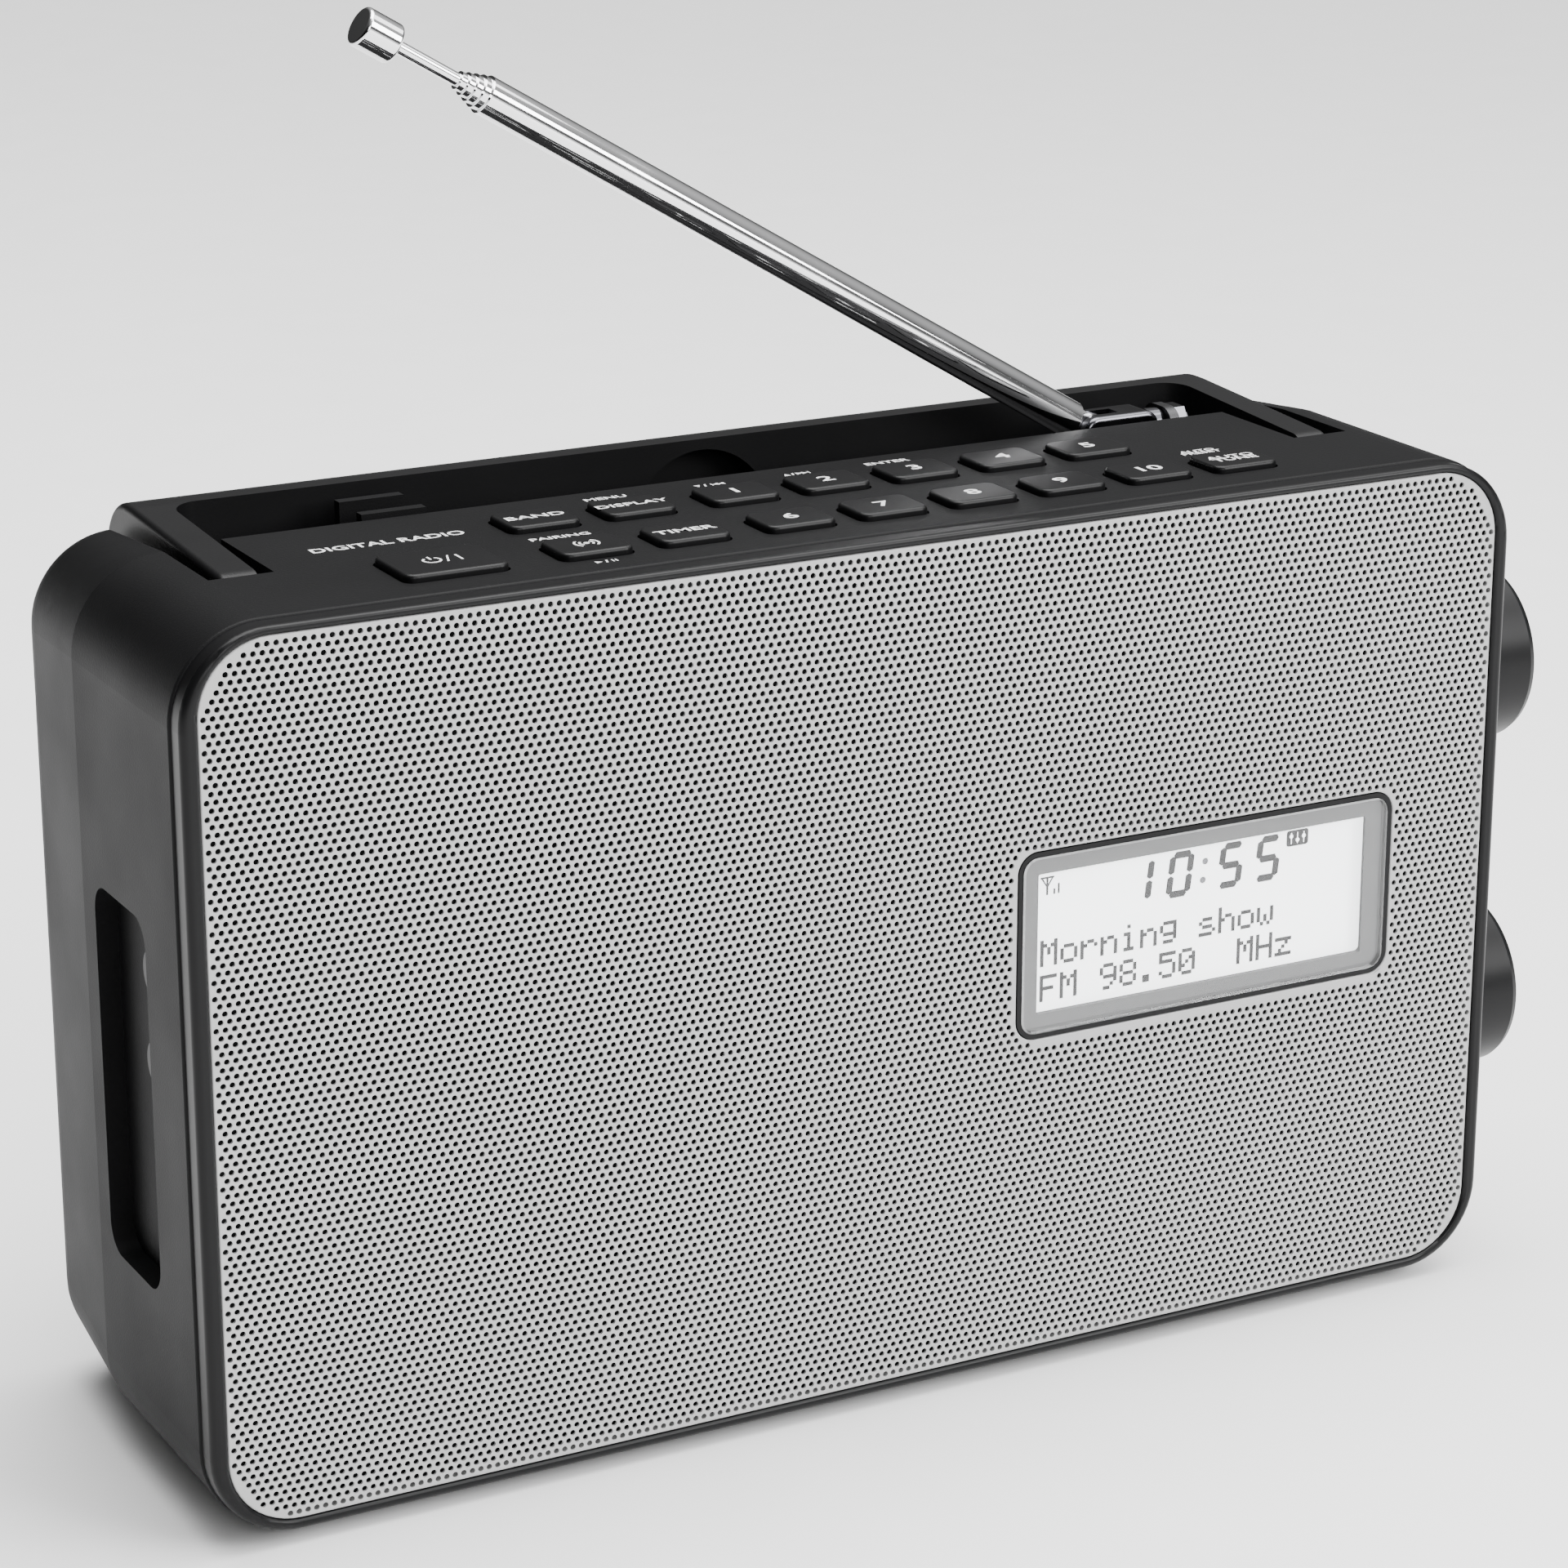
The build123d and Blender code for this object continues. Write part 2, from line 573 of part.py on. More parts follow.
def antenna_swivel():
    """Fork block that turns about its own length, on a shaft through the bracket's ear."""
    middle_x = (SWIVEL_X0 + SWIVEL_X1) / 2
    fork = front_view(
        rounded(SWIVEL_X1 - SWIVEL_X0, SWIVEL_H, 2.8, middle_x, MAST_Z),
        MAST_Y - SWIVEL_W / 2, MAST_Y + SWIVEL_W / 2,
    )
    sides = fork.faces().sort_by(Axis.Y)
    fork = fillet(sides[0].edges() + sides[-1].edges(), 0.9)
    gap = TONGUE_T / 2 + 0.15
    fork -= block(SWIVEL_X0 - 1, MAST_X + 4.2, MAST_Y - gap, MAST_Y + gap, CUT_LOW_Z, CUT_HIGH_Z)
    fork -= rod_y(PIVOT_PIN_R, MAST_Y - 5, MAST_Y + 5, MAST_X, MAST_Z)
    shaft = rod_x(SWIVEL_SHAFT_R, SWIVEL_X1 - 1, 95.5, MAST_Y, MAST_Z)
    collar = rod_x(3.4, SWIVEL_X1 - 1, EAR_X - 0.2, MAST_Y, MAST_Z)
    nut = side_view(Pos(MAST_Y, MAST_Z) * RegularPolygon(4.0, 6), EAR_X + EAR_T + 0.3, 94.6)
    return fork + shaft + collar + nut


def antenna_pivot_pin():
    return rod_y(PIVOT_PIN_R, MAST_Y - SWIVEL_W / 2, MAST_Y + SWIVEL_W / 2, MAST_X, MAST_Z)


def mast_tube(index):
    """One telescopic section as a tube on the mast's axis; the last is a plain rod."""
    radius = SECTION_R[index]
    start = TUBE_START if index == 0 else 12.0 + 2 * index
    end = TUBE_END + COLLAR_STEP * index
    if index == len(SECTION_R) - 1:
        return MAST_PLACE * Pos(0, 0, (start + TIP_START) / 2) * Cylinder(radius, TIP_START - start)
    bore = SECTION_R[index + 1] + RUNNING
    tube = Pos(0, 0, (start + end) / 2) * (Cylinder(radius, end - start) - Cylinder(bore, end - start))
    return MAST_PLACE * tube


def antenna_section_1():
    """Outer tube, with the flat tongue that turns in the swivel's fork."""
    tongue = Plane.XZ.offset(-TONGUE_T / 2) * (
        Circle(TONGUE_R) + Pos(0, TUBE_START / 2) * Rectangle(2 * 2.6, TUBE_START)
    )
    tongue = extrude(tongue, amount=TONGUE_T)
    bore = Rotation(90, 0, 0) * Cylinder(PIVOT_PIN_R + RUNNING, 10)
    plug = Pos(0, 0, TUBE_START + 2) * Cylinder(SECTION_R[1] + RUNNING, 4)
    return mast_tube(0) + MAST_PLACE * (tongue - bore + plug)


def antenna_tip():
    """Round cap on the end of the rod."""
    cap = Pos(0, 0, (TIP_START + TIP_END) / 2) * Cylinder(TIP_R, TIP_END - TIP_START)
    return MAST_PLACE * fillet(cap.edges(), 0.6)


# --- boards and power ---------------------------------------------------------------------
def main_board():
    """Upright board in the right half, with a mounting hole near each corner."""
    x0, x1, z0, z1 = MAIN_BOARD
    board = block(x0, x1, MAIN_BOARD_Y, MAIN_BOARD_BACK_Y, z0, z1)
    for x in (x0 + BOARD_HOLE_INSET, x1 - BOARD_HOLE_INSET):
        for z in (z0 + BOARD_HOLE_INSET, z1 - BOARD_HOLE_INSET):
            board -= rod_y(BOARD_HOLE_R, MAIN_BOARD_Y - 1, MAIN_BOARD_BACK_Y + 1, x, z)
    return board


def main_board_parts():
    """Shielded tuner can, processor and amplifier in front; heat sink and capacitors behind."""
    pieces = [
        block(x0, x1, MAIN_BOARD_Y - height, MAIN_BOARD_Y, z0, z1)
        for x0, x1, z0, z1, height in (TUNER_CAN, PROCESSOR, AMPLIFIER)
    ]
    x0, x1, z0, z1, height = HEAT_SINK
    pieces.append(block(x0, x1, MAIN_BOARD_BACK_Y, MAIN_BOARD_BACK_Y + height, z0, z1))
    for x, z, radius, height in CAPACITORS:
        pieces.append(rod_y(radius, MAIN_BOARD_BACK_Y, MAIN_BOARD_BACK_Y + height, x, z))
    return Compound(pieces)


def mains_transformer():
    """Laminated core with its winding round the middle leg."""
    x0, x1, y0, y1, z0, z1 = CORE
    window_z = (z0 + CORE_LEG, z1 - CORE_LEG)
    coil_y = (y0 - COIL_REACH, y1 + COIL_REACH)
    coil = block(x0 + CORE_LEG, x1 - CORE_LEG, *coil_y, *window_z)
    leg_x = (x0 + 2 * CORE_LEG, x1 - 2 * CORE_LEG)
    core = block(*CORE) - (coil - block(*leg_x, *coil_y, *window_z))
    return core + (coil - block(*leg_x, y0, y1, *window_z))


def battery_box():
    """Tub for four cells, open to the back."""
    x0, x1, z0, z1 = BAY
    back_y = CABINET_D - WALL
    tub = block(x0, x1, BAY_FLOOR_Y, back_y, z0, z1)
    tub -= block(
        x0 + BAY_WALL, x1 - BAY_WALL, BAY_FLOOR_Y + BAY_WALL, back_y + 1, z0 + BAY_WALL, z1 - BAY_WALL,
    )
    return tub


def cell_heights():
    """Centre heights of the four cells in the battery box."""
    z0, z1 = BAY[2] + BAY_WALL, BAY[3] - BAY_WALL
    pitch = (z1 - z0) / 4
    return [z0 + pitch * (row + 0.5) for row in range(4)]


def battery_contacts():
    """A plate with a button at one end of each cell, and a plate with a cone spring at the other."""
    x0, x1 = BAY[0] + BAY_WALL, BAY[1] - BAY_WALL
    y = BAY_FLOOR_Y + BAY_WALL + CELL_R
    ends = (y - CONTACT_D / 2, y + CONTACT_D / 2)
    pieces = []
    for z in cell_heights():
        heights = (z - CONTACT_H / 2, z + CONTACT_H / 2)
        button = rod_x(BUTTON_R, x0 + CONTACT_T, x0 + CONTACT_T + BUTTON_T, y, z)
        pieces.append(block(x0, x0 + CONTACT_T, *ends, *heights) + button)
        spring = Pos(0, 0, SPRING_L / 2) * Cone(SPRING_R, SPRING_TIP_R, SPRING_L)
        spring = Location((x1 - CONTACT_T, y, z)) * Rotation(0, -90, 0) * spring
        pieces.append(block(x1 - CONTACT_T, x1, *ends, *heights) + spring)
    return Compound(pieces)


def battery_door():
    """Cover of the battery box; it swings on its round lower edge and snaps shut at the top."""
    x0, x1, z0, z1 = BAY
    width, height = x1 - x0 - 4 - 2 * DOOR_GAP, z1 - z0 - 4 - 2 * DOOR_GAP
    middle = (x0 + x1) / 2, (z0 + z1) / 2
    foot_z = middle[1] - height / 2
    hinge_y, hinge_z = CABINET_D - DOOR_T / 2, foot_z + DOOR_T / 2
    door = front_view(rounded(width, height, DOOR_CORNER, *middle), CABINET_D - DOOR_T, CABINET_D)
    door = chamfer(door.faces().sort_by(Axis.Y)[-1].edges(), 0.4)
    edge_top_z = hinge_z + DOOR_T
    door -= block(x0, x1, CABINET_D - DOOR_T - 1, CABINET_D + 1, foot_z - 1, edge_top_z)
    reach = width / 2 - DOOR_CORNER
    edge = Circle(DOOR_T / 2) + Pos(0, DOOR_T / 2) * Rectangle(DOOR_T, DOOR_T)
    door += side_view(Pos(hinge_y, hinge_z) * edge, middle[0] - reach, middle[0] + reach)
    grip = rounded(16, 5, 2.4, middle[0], middle[1] + height / 2 - 6)
    door -= front_view(grip, CABINET_D - 1.2, CABINET_D + 1)
    latch = block(
        middle[0] - 6, middle[0] + 6, CABINET_D - 6, CABINET_D - DOOR_T,
        middle[1] + height / 2 - 3.2, middle[1] + height / 2 - 1.6,
    )
    return door + latch


def figure_eight(radius, x, z):
    """Two circles side by side, joined."""
    half = PIN_PITCH / 2
    ends = Pos(x - half, z) * Circle(radius) + Pos(x + half, z) * Circle(radius)
    return ends + Pos(x, z) * Rectangle(PIN_PITCH, 2 * radius * 0.8)


def mains_inlet():
    """Two-pin appliance inlet set in the back."""
    body = front_view(rounded(26, 17, 2, INLET_X, INLET_Z), 66, CABINET_D - WALL)
    face = front_view(rounded(19.8, 11.8, 1.9, INLET_X, INLET_Z), CABINET_D - WALL, CABINET_D)
    socket = front_view(figure_eight(4.3, INLET_X, INLET_Z), 70, CABINET_D + 1)
    body = body + face - socket
    for side in (-1, 1):
        body -= rod_y(1.2, 65, 71, INLET_X + side * PIN_PITCH / 2, INLET_Z)
    return body


def mains_pins():
    pins = [rod_y(1.2, 62, 81, INLET_X + side * PIN_PITCH / 2, INLET_Z) for side in (-1, 1)]
    return Compound(pins)


def jack(z):
    """A 3.5 mm socket: block inside, round nose in the side recess."""
    nose_x = -CABINET_W / 2 + RECESS_DEPTH
    back_x = nose_x + WALL
    body = block(back_x, back_x + 13, JACK_Y - 6, JACK_Y + 6, z - 6, z + 6)
    nose = rod_x(4.0, nose_x - 0.3, back_x, JACK_Y, z)
    return body + nose - rod_x(JACK_BORE_R, nose_x - 1, back_x + 11, JACK_Y, z)


# --- writing the parts --------------------------------------------------------------------
def write_part(node, shape):
    """One STEP file per node, in the row's frame."""
    export_step(ORIGIN_SHIFT * shape, f"parts/{node}.step")


def main():
    os.makedirs("parts", exist_ok=True)
    write_part("front_frame", front_frame())
    write_part("speaker_grille", speaker_grille())
    write_part("front_cabinet", front_cabinet())
    write_part("top_panel", top_panel())
    write_part("rear_cabinet", rear_cabinet())
    write_part("case_screws", case_screws())
    write_part("rubber_feet", rubber_feet())
    write_part("display_lens", display_lens())
    write_part("lcd_holder", lcd_holder())
    write_part("lcd_panel", lcd_panel())
    for name, (x, y, width, depth) in KEYS.items():
        write_part(name, key_cap(x, y, width, depth))
    write_part("key_board", key_board())
    write_part("key_switches", key_switches())
    for name, z in KNOB_Z.items():
        write_part(f"{name}_knob", knob(z))
        write_part(f"{name}_shaft", control_shaft(z))
        write_part(f"{name}_control", control(z))
    write_part("speaker_basket", speaker_basket())
    write_part("speaker_cone", speaker_cone())
    write_part("speaker_magnet", speaker_magnet())
    write_part("speaker_screws", speaker_screws())
    write_part("handle", handle())
    write_part("handle_pins", handle_pins())
    write_part("antenna_bracket", antenna_bracket())
    write_part("antenna_swivel", antenna_swivel())
    write_part("antenna_pivot_pin", antenna_pivot_pin())
    write_part("antenna_section_1", antenna_section_1())
    for index in range(1, len(SECTION_R)):
        write_part(f"antenna_section_{index + 1}", mast_tube(index))
    write_part("antenna_tip", antenna_tip())
    write_part("main_board", main_board())
    write_part("main_board_parts", main_board_parts())
    write_part("mains_transformer", mains_transformer())
    write_part("battery_box", battery_box())
    write_part("battery_contacts", battery_contacts())
    write_part("battery_door", battery_door())
    write_part("mains_inlet", mains_inlet())
    write_part("mains_pins", mains_pins())
    for name, z in JACK_Z.items():
        write_part(name, jack(z))


main()
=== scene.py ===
import json
import math

import bmesh
import bpy
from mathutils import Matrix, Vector


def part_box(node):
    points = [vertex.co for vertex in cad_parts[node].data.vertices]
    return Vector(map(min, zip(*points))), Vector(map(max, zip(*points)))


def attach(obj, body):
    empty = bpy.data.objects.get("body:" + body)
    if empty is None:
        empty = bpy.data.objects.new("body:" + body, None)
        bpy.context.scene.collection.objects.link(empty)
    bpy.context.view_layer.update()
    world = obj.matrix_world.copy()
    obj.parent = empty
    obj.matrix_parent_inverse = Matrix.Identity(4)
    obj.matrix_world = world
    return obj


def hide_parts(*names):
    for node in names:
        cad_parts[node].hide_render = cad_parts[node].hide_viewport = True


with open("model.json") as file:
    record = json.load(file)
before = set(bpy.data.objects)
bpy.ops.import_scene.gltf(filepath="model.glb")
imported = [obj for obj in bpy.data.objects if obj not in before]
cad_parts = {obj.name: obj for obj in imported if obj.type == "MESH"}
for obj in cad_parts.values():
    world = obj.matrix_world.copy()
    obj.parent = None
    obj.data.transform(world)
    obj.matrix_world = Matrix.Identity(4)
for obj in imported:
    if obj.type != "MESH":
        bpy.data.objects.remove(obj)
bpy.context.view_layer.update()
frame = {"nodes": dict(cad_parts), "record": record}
nodes = frame["nodes"]

MM = 0.001

# The cabinet's own axes: X from its middle, Y back from the frame's front, Z up from the table.
frame_low, frame_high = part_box("front_frame")
CABINET_MIDDLE = (frame_low.x + frame_high.x) / 2
CABINET_FRONT = frame_low.y


def place(x, y, z):
    """A point of the cabinet's own axes, in millimetres, as a point of the scene."""
    return Vector((CABINET_MIDDLE + x * MM, CABINET_FRONT + y * MM, z * MM))


# ---------------------------------------------------------------- camera

CAMERA_TARGET = Vector((-0.0277, -0.043, 0.1192))
CAMERA_AZIMUTH = math.radians(-28.1)
CAMERA_ELEVATION = math.radians(17.84)
CAMERA_DISTANCE = 0.7374
CAMERA_LENS = 101.0


def aim(obj, target):
    """Turns an object so that its -Z axis points at target."""
    obj.rotation_euler = (target - obj.location).to_track_quat("-Z", "Y").to_euler()


def make_camera():
    camera = bpy.data.objects.new("camera", bpy.data.cameras.new("camera"))
    bpy.context.scene.collection.objects.link(camera)
    flat = math.cos(CAMERA_ELEVATION)
    direction = Vector((math.sin(CAMERA_AZIMUTH) * flat,
                        -math.cos(CAMERA_AZIMUTH) * flat,
                        math.sin(CAMERA_ELEVATION)))
    camera.location = CAMERA_TARGET + CAMERA_DISTANCE * direction
    camera.data.lens = CAMERA_LENS
    aim(camera, CAMERA_TARGET)
    bpy.context.scene.camera = camera


make_camera()

# ---------------------------------------------------------------- node wiring


def add(tree, kind, inputs=None, **settings):
    """A node with its settings made, and each input either linked or given a value."""
    made = tree.nodes.new(kind)
    for name, value in settings.items():
        setattr(made, name, value)
    for name, value in (inputs or {}).items():
        wire(tree, made.inputs[name], value)
    return made


def wire(tree, socket, value):
    if isinstance(value, bpy.types.NodeSocket):
        tree.links.new(value, socket)
    else:
        socket.default_value = value


def sums(tree, operation, *values):
    made = add(tree, "ShaderNodeMath", operation=operation)
    for socket, value in zip(made.inputs, values):
        wire(tree, socket, value)
    return made.outputs[0]


def vectors(tree, operation, *values, output=0):
    made = add(tree, "ShaderNodeVectorMath", operation=operation)
    for socket, value in zip(made.inputs, values):
        wire(tree, socket, value)
    return made.outputs[output]


def scaled(tree, vector, factor):
    made = add(tree, "ShaderNodeVectorMath", {"Scale": factor}, operation="SCALE")
    tree.links.new(vector, made.inputs[0])
    return made.outputs[0]


def sockets(tree, inputs, outputs):
    """Named sockets on a node group, and the nodes that carry them."""
    for name, (kind, value) in inputs.items():
        socket = tree.interface.new_socket(name, in_out="INPUT", socket_type=kind)
        if value is not None:
            socket.default_value = value
    for name, kind in outputs.items():
        tree.interface.new_socket(name, in_out="OUTPUT", socket_type=kind)
    return add(tree, "NodeGroupInput").outputs, add(tree, "NodeGroupOutput").inputs


FLOAT = "NodeSocketFloat"
WHOLE = "NodeSocketInt"
COLOUR = "NodeSocketColor"
VECTOR = "NodeSocketVector"
SHAPE = "NodeSocketGeometry"
PAINT = "NodeSocketMaterial"

# ---------------------------------------------------------------- shared finishes

SLOW_DRIFT = 38.0
SMUDGE_START = 0.45
SMUDGE_FULL = 0.75


def make_grain_group():
    """Fine bumps of a moulded or painted surface, with slow changes of shade and gloss."""
    group = bpy.data.node_groups.new("surface grain", "ShaderNodeTree")
    given, made = sockets(
        group,
        {"Colour": (COLOUR, (0.5, 0.5, 0.5, 1)), "Shade Spread": (FLOAT, 0.2),
         "Grain": (FLOAT, 2500.0), "Depth": (FLOAT, 0.00002),
         "Roughness": (FLOAT, 0.5), "Roughness Spread": (FLOAT, 0.1)},
        {"Colour": COLOUR, "Roughness": FLOAT, "Normal": VECTOR})
    spot = add(group, "ShaderNodeTexCoord").outputs["Object"]
    fine = add(group, "ShaderNodeTexNoise", {"Vector": spot, "Scale": given["Grain"], "Detail": 2.0})
    broad = add(group, "ShaderNodeTexNoise", {"Vector": spot, "Scale": SLOW_DRIFT, "Detail": 3.0})
    drift = sums(group, "SUBTRACT", broad.outputs["Fac"], 0.5)
    shade = sums(group, "MULTIPLY_ADD", drift, given["Shade Spread"], 1.0)
    speck = sums(group, "SUBTRACT", fine.outputs["Fac"], 0.5)
    shade = sums(group, "MULTIPLY_ADD", speck, given["Shade Spread"], shade)
    wire(group, made["Colour"], scaled(group, given["Colour"], shade))
    wire(group, made["Roughness"],
         sums(group, "MULTIPLY_ADD", drift, given["Roughness Spread"], given["Roughness"]))
    bump = add(group, "ShaderNodeBump",
               {"Height": fine.outputs["Fac"], "Distance": given["Depth"], "Strength": 1.0})
    wire(group, made["Normal"], bump.outputs["Normal"])
    return group


def make_smudge_group():
    """Faint finger marks and dust: cloudy patches that a surface takes as extra roughness."""
    group = bpy.data.node_groups.new("handling marks", "ShaderNodeTree")
    given, made = sockets(
        group,
        {"Roughness": (FLOAT, 0.1), "Amount": (FLOAT, 0.1), "Size": (FLOAT, 60.0)},
        {"Roughness": FLOAT})
    spot = add(group, "ShaderNodeTexCoord").outputs["Object"]
    cloud = add(group, "ShaderNodeTexNoise", {"Vector": spot, "Scale": given["Size"], "Detail": 4.0})
    patch = add(group, "ShaderNodeMapRange",
                {"Value": cloud.outputs["Fac"], "From Min": SMUDGE_START, "From Max": SMUDGE_FULL})
    wire(group, made["Roughness"],
         sums(group, "MULTIPLY_ADD", patch.outputs["Result"], given["Amount"], given["Roughness"]))
    return group


GRAIN = make_grain_group()
SMUDGES = make_smudge_group()


def new_material(name):
    material = bpy.data.materials.new(name)
    material.use_nodes = True
    tree = material.node_tree
    return material, tree, tree.nodes["Principled BSDF"]


def grained(name, colour, roughness, grain, depth, spread=0.25, **constants):
    """A matt or satin surface; depth is the grain's in millimetres."""
    material, tree, surface = new_material(name)
    grain_node = add(tree, "ShaderNodeGroup", node_tree=GRAIN)
    given = grain_node.inputs
    given["Colour"].default_value = (*colour, 1)
    given["Shade Spread"].default_value = spread
    given["Grain"].default_value = grain
    given["Depth"].default_value = depth * MM
    given["Roughness"].default_value = roughness
    given["Roughness Spread"].default_value = roughness / 3
    wire(tree, surface.inputs["Base Color"], grain_node.outputs["Colour"])
    wire(tree, surface.inputs["Roughness"], grain_node.outputs["Roughness"])
    wire(tree, surface.inputs["Normal"], grain_node.outputs["Normal"])
    for socket, value in constants.items():
        surface.inputs[socket.replace("_", " ")].default_value = value
    return material


def polished(name, colour, roughness, amount=0.08):
    """Bright metal with faint handling marks."""
    material, tree, surface = new_material(name)
    marks = add(tree, "ShaderNodeGroup", node_tree=SMUDGES)
    marks.inputs["Roughness"].default_value = roughness
    marks.inputs["Amount"].default_value = amount
    surface.inputs["Base Color"].default_value = (*colour, 1)
    surface.inputs["Metallic"].default_value = 1.0
    wire(tree, surface.inputs["Roughness"], marks.outputs["Roughness"])
    return material


ACRYLIC_IOR = 1.49
BACKLIGHT_STRENGTH = 3.2


def make_lens_plastic():
    """Clear acrylic. Light on its way to the display passes it without a shadow."""
    material, tree, surface = new_material("lens acrylic")
    marks = add(tree, "ShaderNodeGroup", node_tree=SMUDGES)
    marks.inputs["Roughness"].default_value = 0.01
    marks.inputs["Amount"].default_value = 0.03
    surface.inputs["Base Color"].default_value = (0.97, 0.98, 0.98, 1)
    surface.inputs["IOR"].default_value = ACRYLIC_IOR
    surface.inputs["Transmission Weight"].default_value = 1.0
    wire(tree, surface.inputs["Roughness"], marks.outputs["Roughness"])
    clear = add(tree, "ShaderNodeBsdfTransparent")
    ray = add(tree, "ShaderNodeLightPath")
    mixed = add(tree, "ShaderNodeMixShader", {"Fac": ray.outputs["Is Shadow Ray"]})
    wire(tree, mixed.inputs[1], surface.outputs[0])
    wire(tree, mixed.inputs[2], clear.outputs[0])
    wire(tree, tree.nodes["Material Output"].inputs["Surface"], mixed.outputs[0])
    return material


def make_backlight():
    """The lit display: near white, a little uneven as a side-lit panel is."""
    material, tree, surface = new_material("display backlight")
    spot = add(tree, "ShaderNodeTexCoord").outputs["Object"]
    cloud = add(tree, "ShaderNodeTexNoise", {"Vector": spot, "Scale": 25.0, "Detail": 1.0})
    tint = add(tree, "ShaderNodeValToRGB", {"Fac": cloud.outputs["Fac"]})
    tint.color_ramp.elements[0].color = (0.84, 0.86, 0.88, 1)
    tint.color_ramp.elements[1].color = (0.97, 0.98, 1.0, 1)
    wire(tree, surface.inputs["Emission Color"], tint.outputs["Color"])
    surface.inputs["Emission Strength"].default_value = BACKLIGHT_STRENGTH
    surface.inputs["Base Color"].default_value = (0.6, 0.6, 0.6, 1)
    surface.inputs["Roughness"].default_value = 0.5
    return material


BLACK = (0.0035, 0.0035, 0.0038)
SOFT_SHEEN = {"Specular_IOR_Level": 0.16}
DULL_SHEEN = {"Specular_IOR_Level": 0.1}
FINISHES = {
    "black_plastic": grained("black moulded plastic", BLACK, 0.52, 2600, 0.03, **DULL_SHEEN),
    "black_satin": grained("black satin plastic", BLACK, 0.32, 3000, 0.006, **SOFT_SHEEN),
    "grille_paint": grained("silver paint", (0.37, 0.37, 0.37), 0.45, 4000, 0.006, 0.1),
    "lens": make_lens_plastic(),
    "display": make_backlight(),
    "key_plastic": grained("black key plastic", BLACK, 0.34, 3200, 0.008, **SOFT_SHEEN),
    "knob_plastic": grained("black knob plastic", BLACK, 0.36, 3000, 0.008, **SOFT_SHEEN),
    "handle_plastic": grained("black handle plastic", BLACK, 0.42, 2600, 0.015, **SOFT_SHEEN),
    "chrome": polished("chrome", (0.82, 0.82, 0.83), 0.05),
    "dark_chrome": polished("black chrome", (0.10, 0.10, 0.11), 0.14),
    "steel": polished("zinc plated steel", (0.55, 0.56, 0.57), 0.32, 0.2),
    "black_steel": grained("blackened steel", (0.05, 0.05, 0.052), 0.4, 1500, 0.01, Metallic=1.0),
    "nickel": polished("nickel", (0.66, 0.63, 0.58), 0.2, 0.15),
    "circuit_board": grained("green solder mask", (0.012, 0.085, 0.03), 0.35, 900, 0.01),
    "board_parts": grained("component plastic", (0.045, 0.045, 0.05), 0.45, 1500, 0.01),
    "laminated_core": grained("varnished steel core", (0.16, 0.15, 0.14), 0.5, 1200, 0.03, Metallic=0.7),
    "cone_paper": grained("pressed paper cone", (0.006, 0.006, 0.006), 0.85, 1400, 0.08, 0.5, **DULL_SHEEN),
    "ferrite": grained("ferrite", (0.05, 0.05, 0.052), 0.6, 1100, 0.03),
    "socket_plastic": grained("socket plastic", (0.016, 0.016, 0.017), 0.45, 2600, 0.01),
    "rubber": grained("black rubber", (0.02, 0.02, 0.021), 0.8, 1800, 0.03),
}

for subpart in frame["record"]["subparts"]:
    skin = nodes[subpart["node"]].data.materials
    skin.clear()
    skin.append(FINISHES[subpart["material_slot"]])

# The basket shows faintly through the holes, so its steel is painted black.
nodes["speaker_basket"].data.materials[0] = grained(
    "black painted steel", BLACK, 0.6, 1500, 0.01, **DULL_SHEEN)

# ---------------------------------------------------------------- mesh helpers


MERGE_REACH = 1e-7


def new_object(name, mesh, material=None):
    obj = bpy.data.objects.new(name, mesh)
    bpy.context.scene.collection.objects.link(obj)
    if material:
        mesh.materials.append(material)
    return obj


def close_up(shape, mesh):
    """Merges doubles, points the faces outwards and writes the mesh."""
    bmesh.ops.remove_doubles(shape, verts=shape.verts, dist=MERGE_REACH)
    bmesh.ops.recalc_face_normals(shape, faces=shape.faces)
    shape.to_mesh(mesh)
    shape.free()


def corner_points(width, height, radius, steps):
    """A rectangle with round corners about the origin, in order."""
    points = []
    for turn, (side_x, side_z) in enumerate([(1, 1), (-1, 1), (-1, -1), (1, -1)]):
        for step in range(steps + 1):
            angle = (turn + step / steps) * math.pi / 2
            points.append((side_x * (width / 2 - radius) + radius * math.cos(angle),
                           side_z * (height / 2 - radius) + radius * math.sin(angle)))
    return points


CORNER_STEPS = 12


def round_frame(name, centre, size, profile, material):
    """A closed frame round a rectangle with round corners. The profile's points are (inset, y)."""
    width, height, radius = size
    shape = bmesh.new()
    rings = []
    for inset, y in profile:
        points = corner_points(width - 2 * inset, height - 2 * inset, radius - inset, CORNER_STEPS)
        rings.append([shape.verts.new(place(centre[0] + x, y, centre[1] + z)) for x, z in points])
    count = len(rings[0])
    for ring, following in zip(rings, rings[1:] + rings[:1]):
        for i in range(count):
            j = (i + 1) % count
            shape.faces.new((ring[i], ring[j], following[j], following[i]))
    mesh = bpy.data.meshes.new(name)
    close_up(shape, mesh)
    return new_object(name, mesh, material)


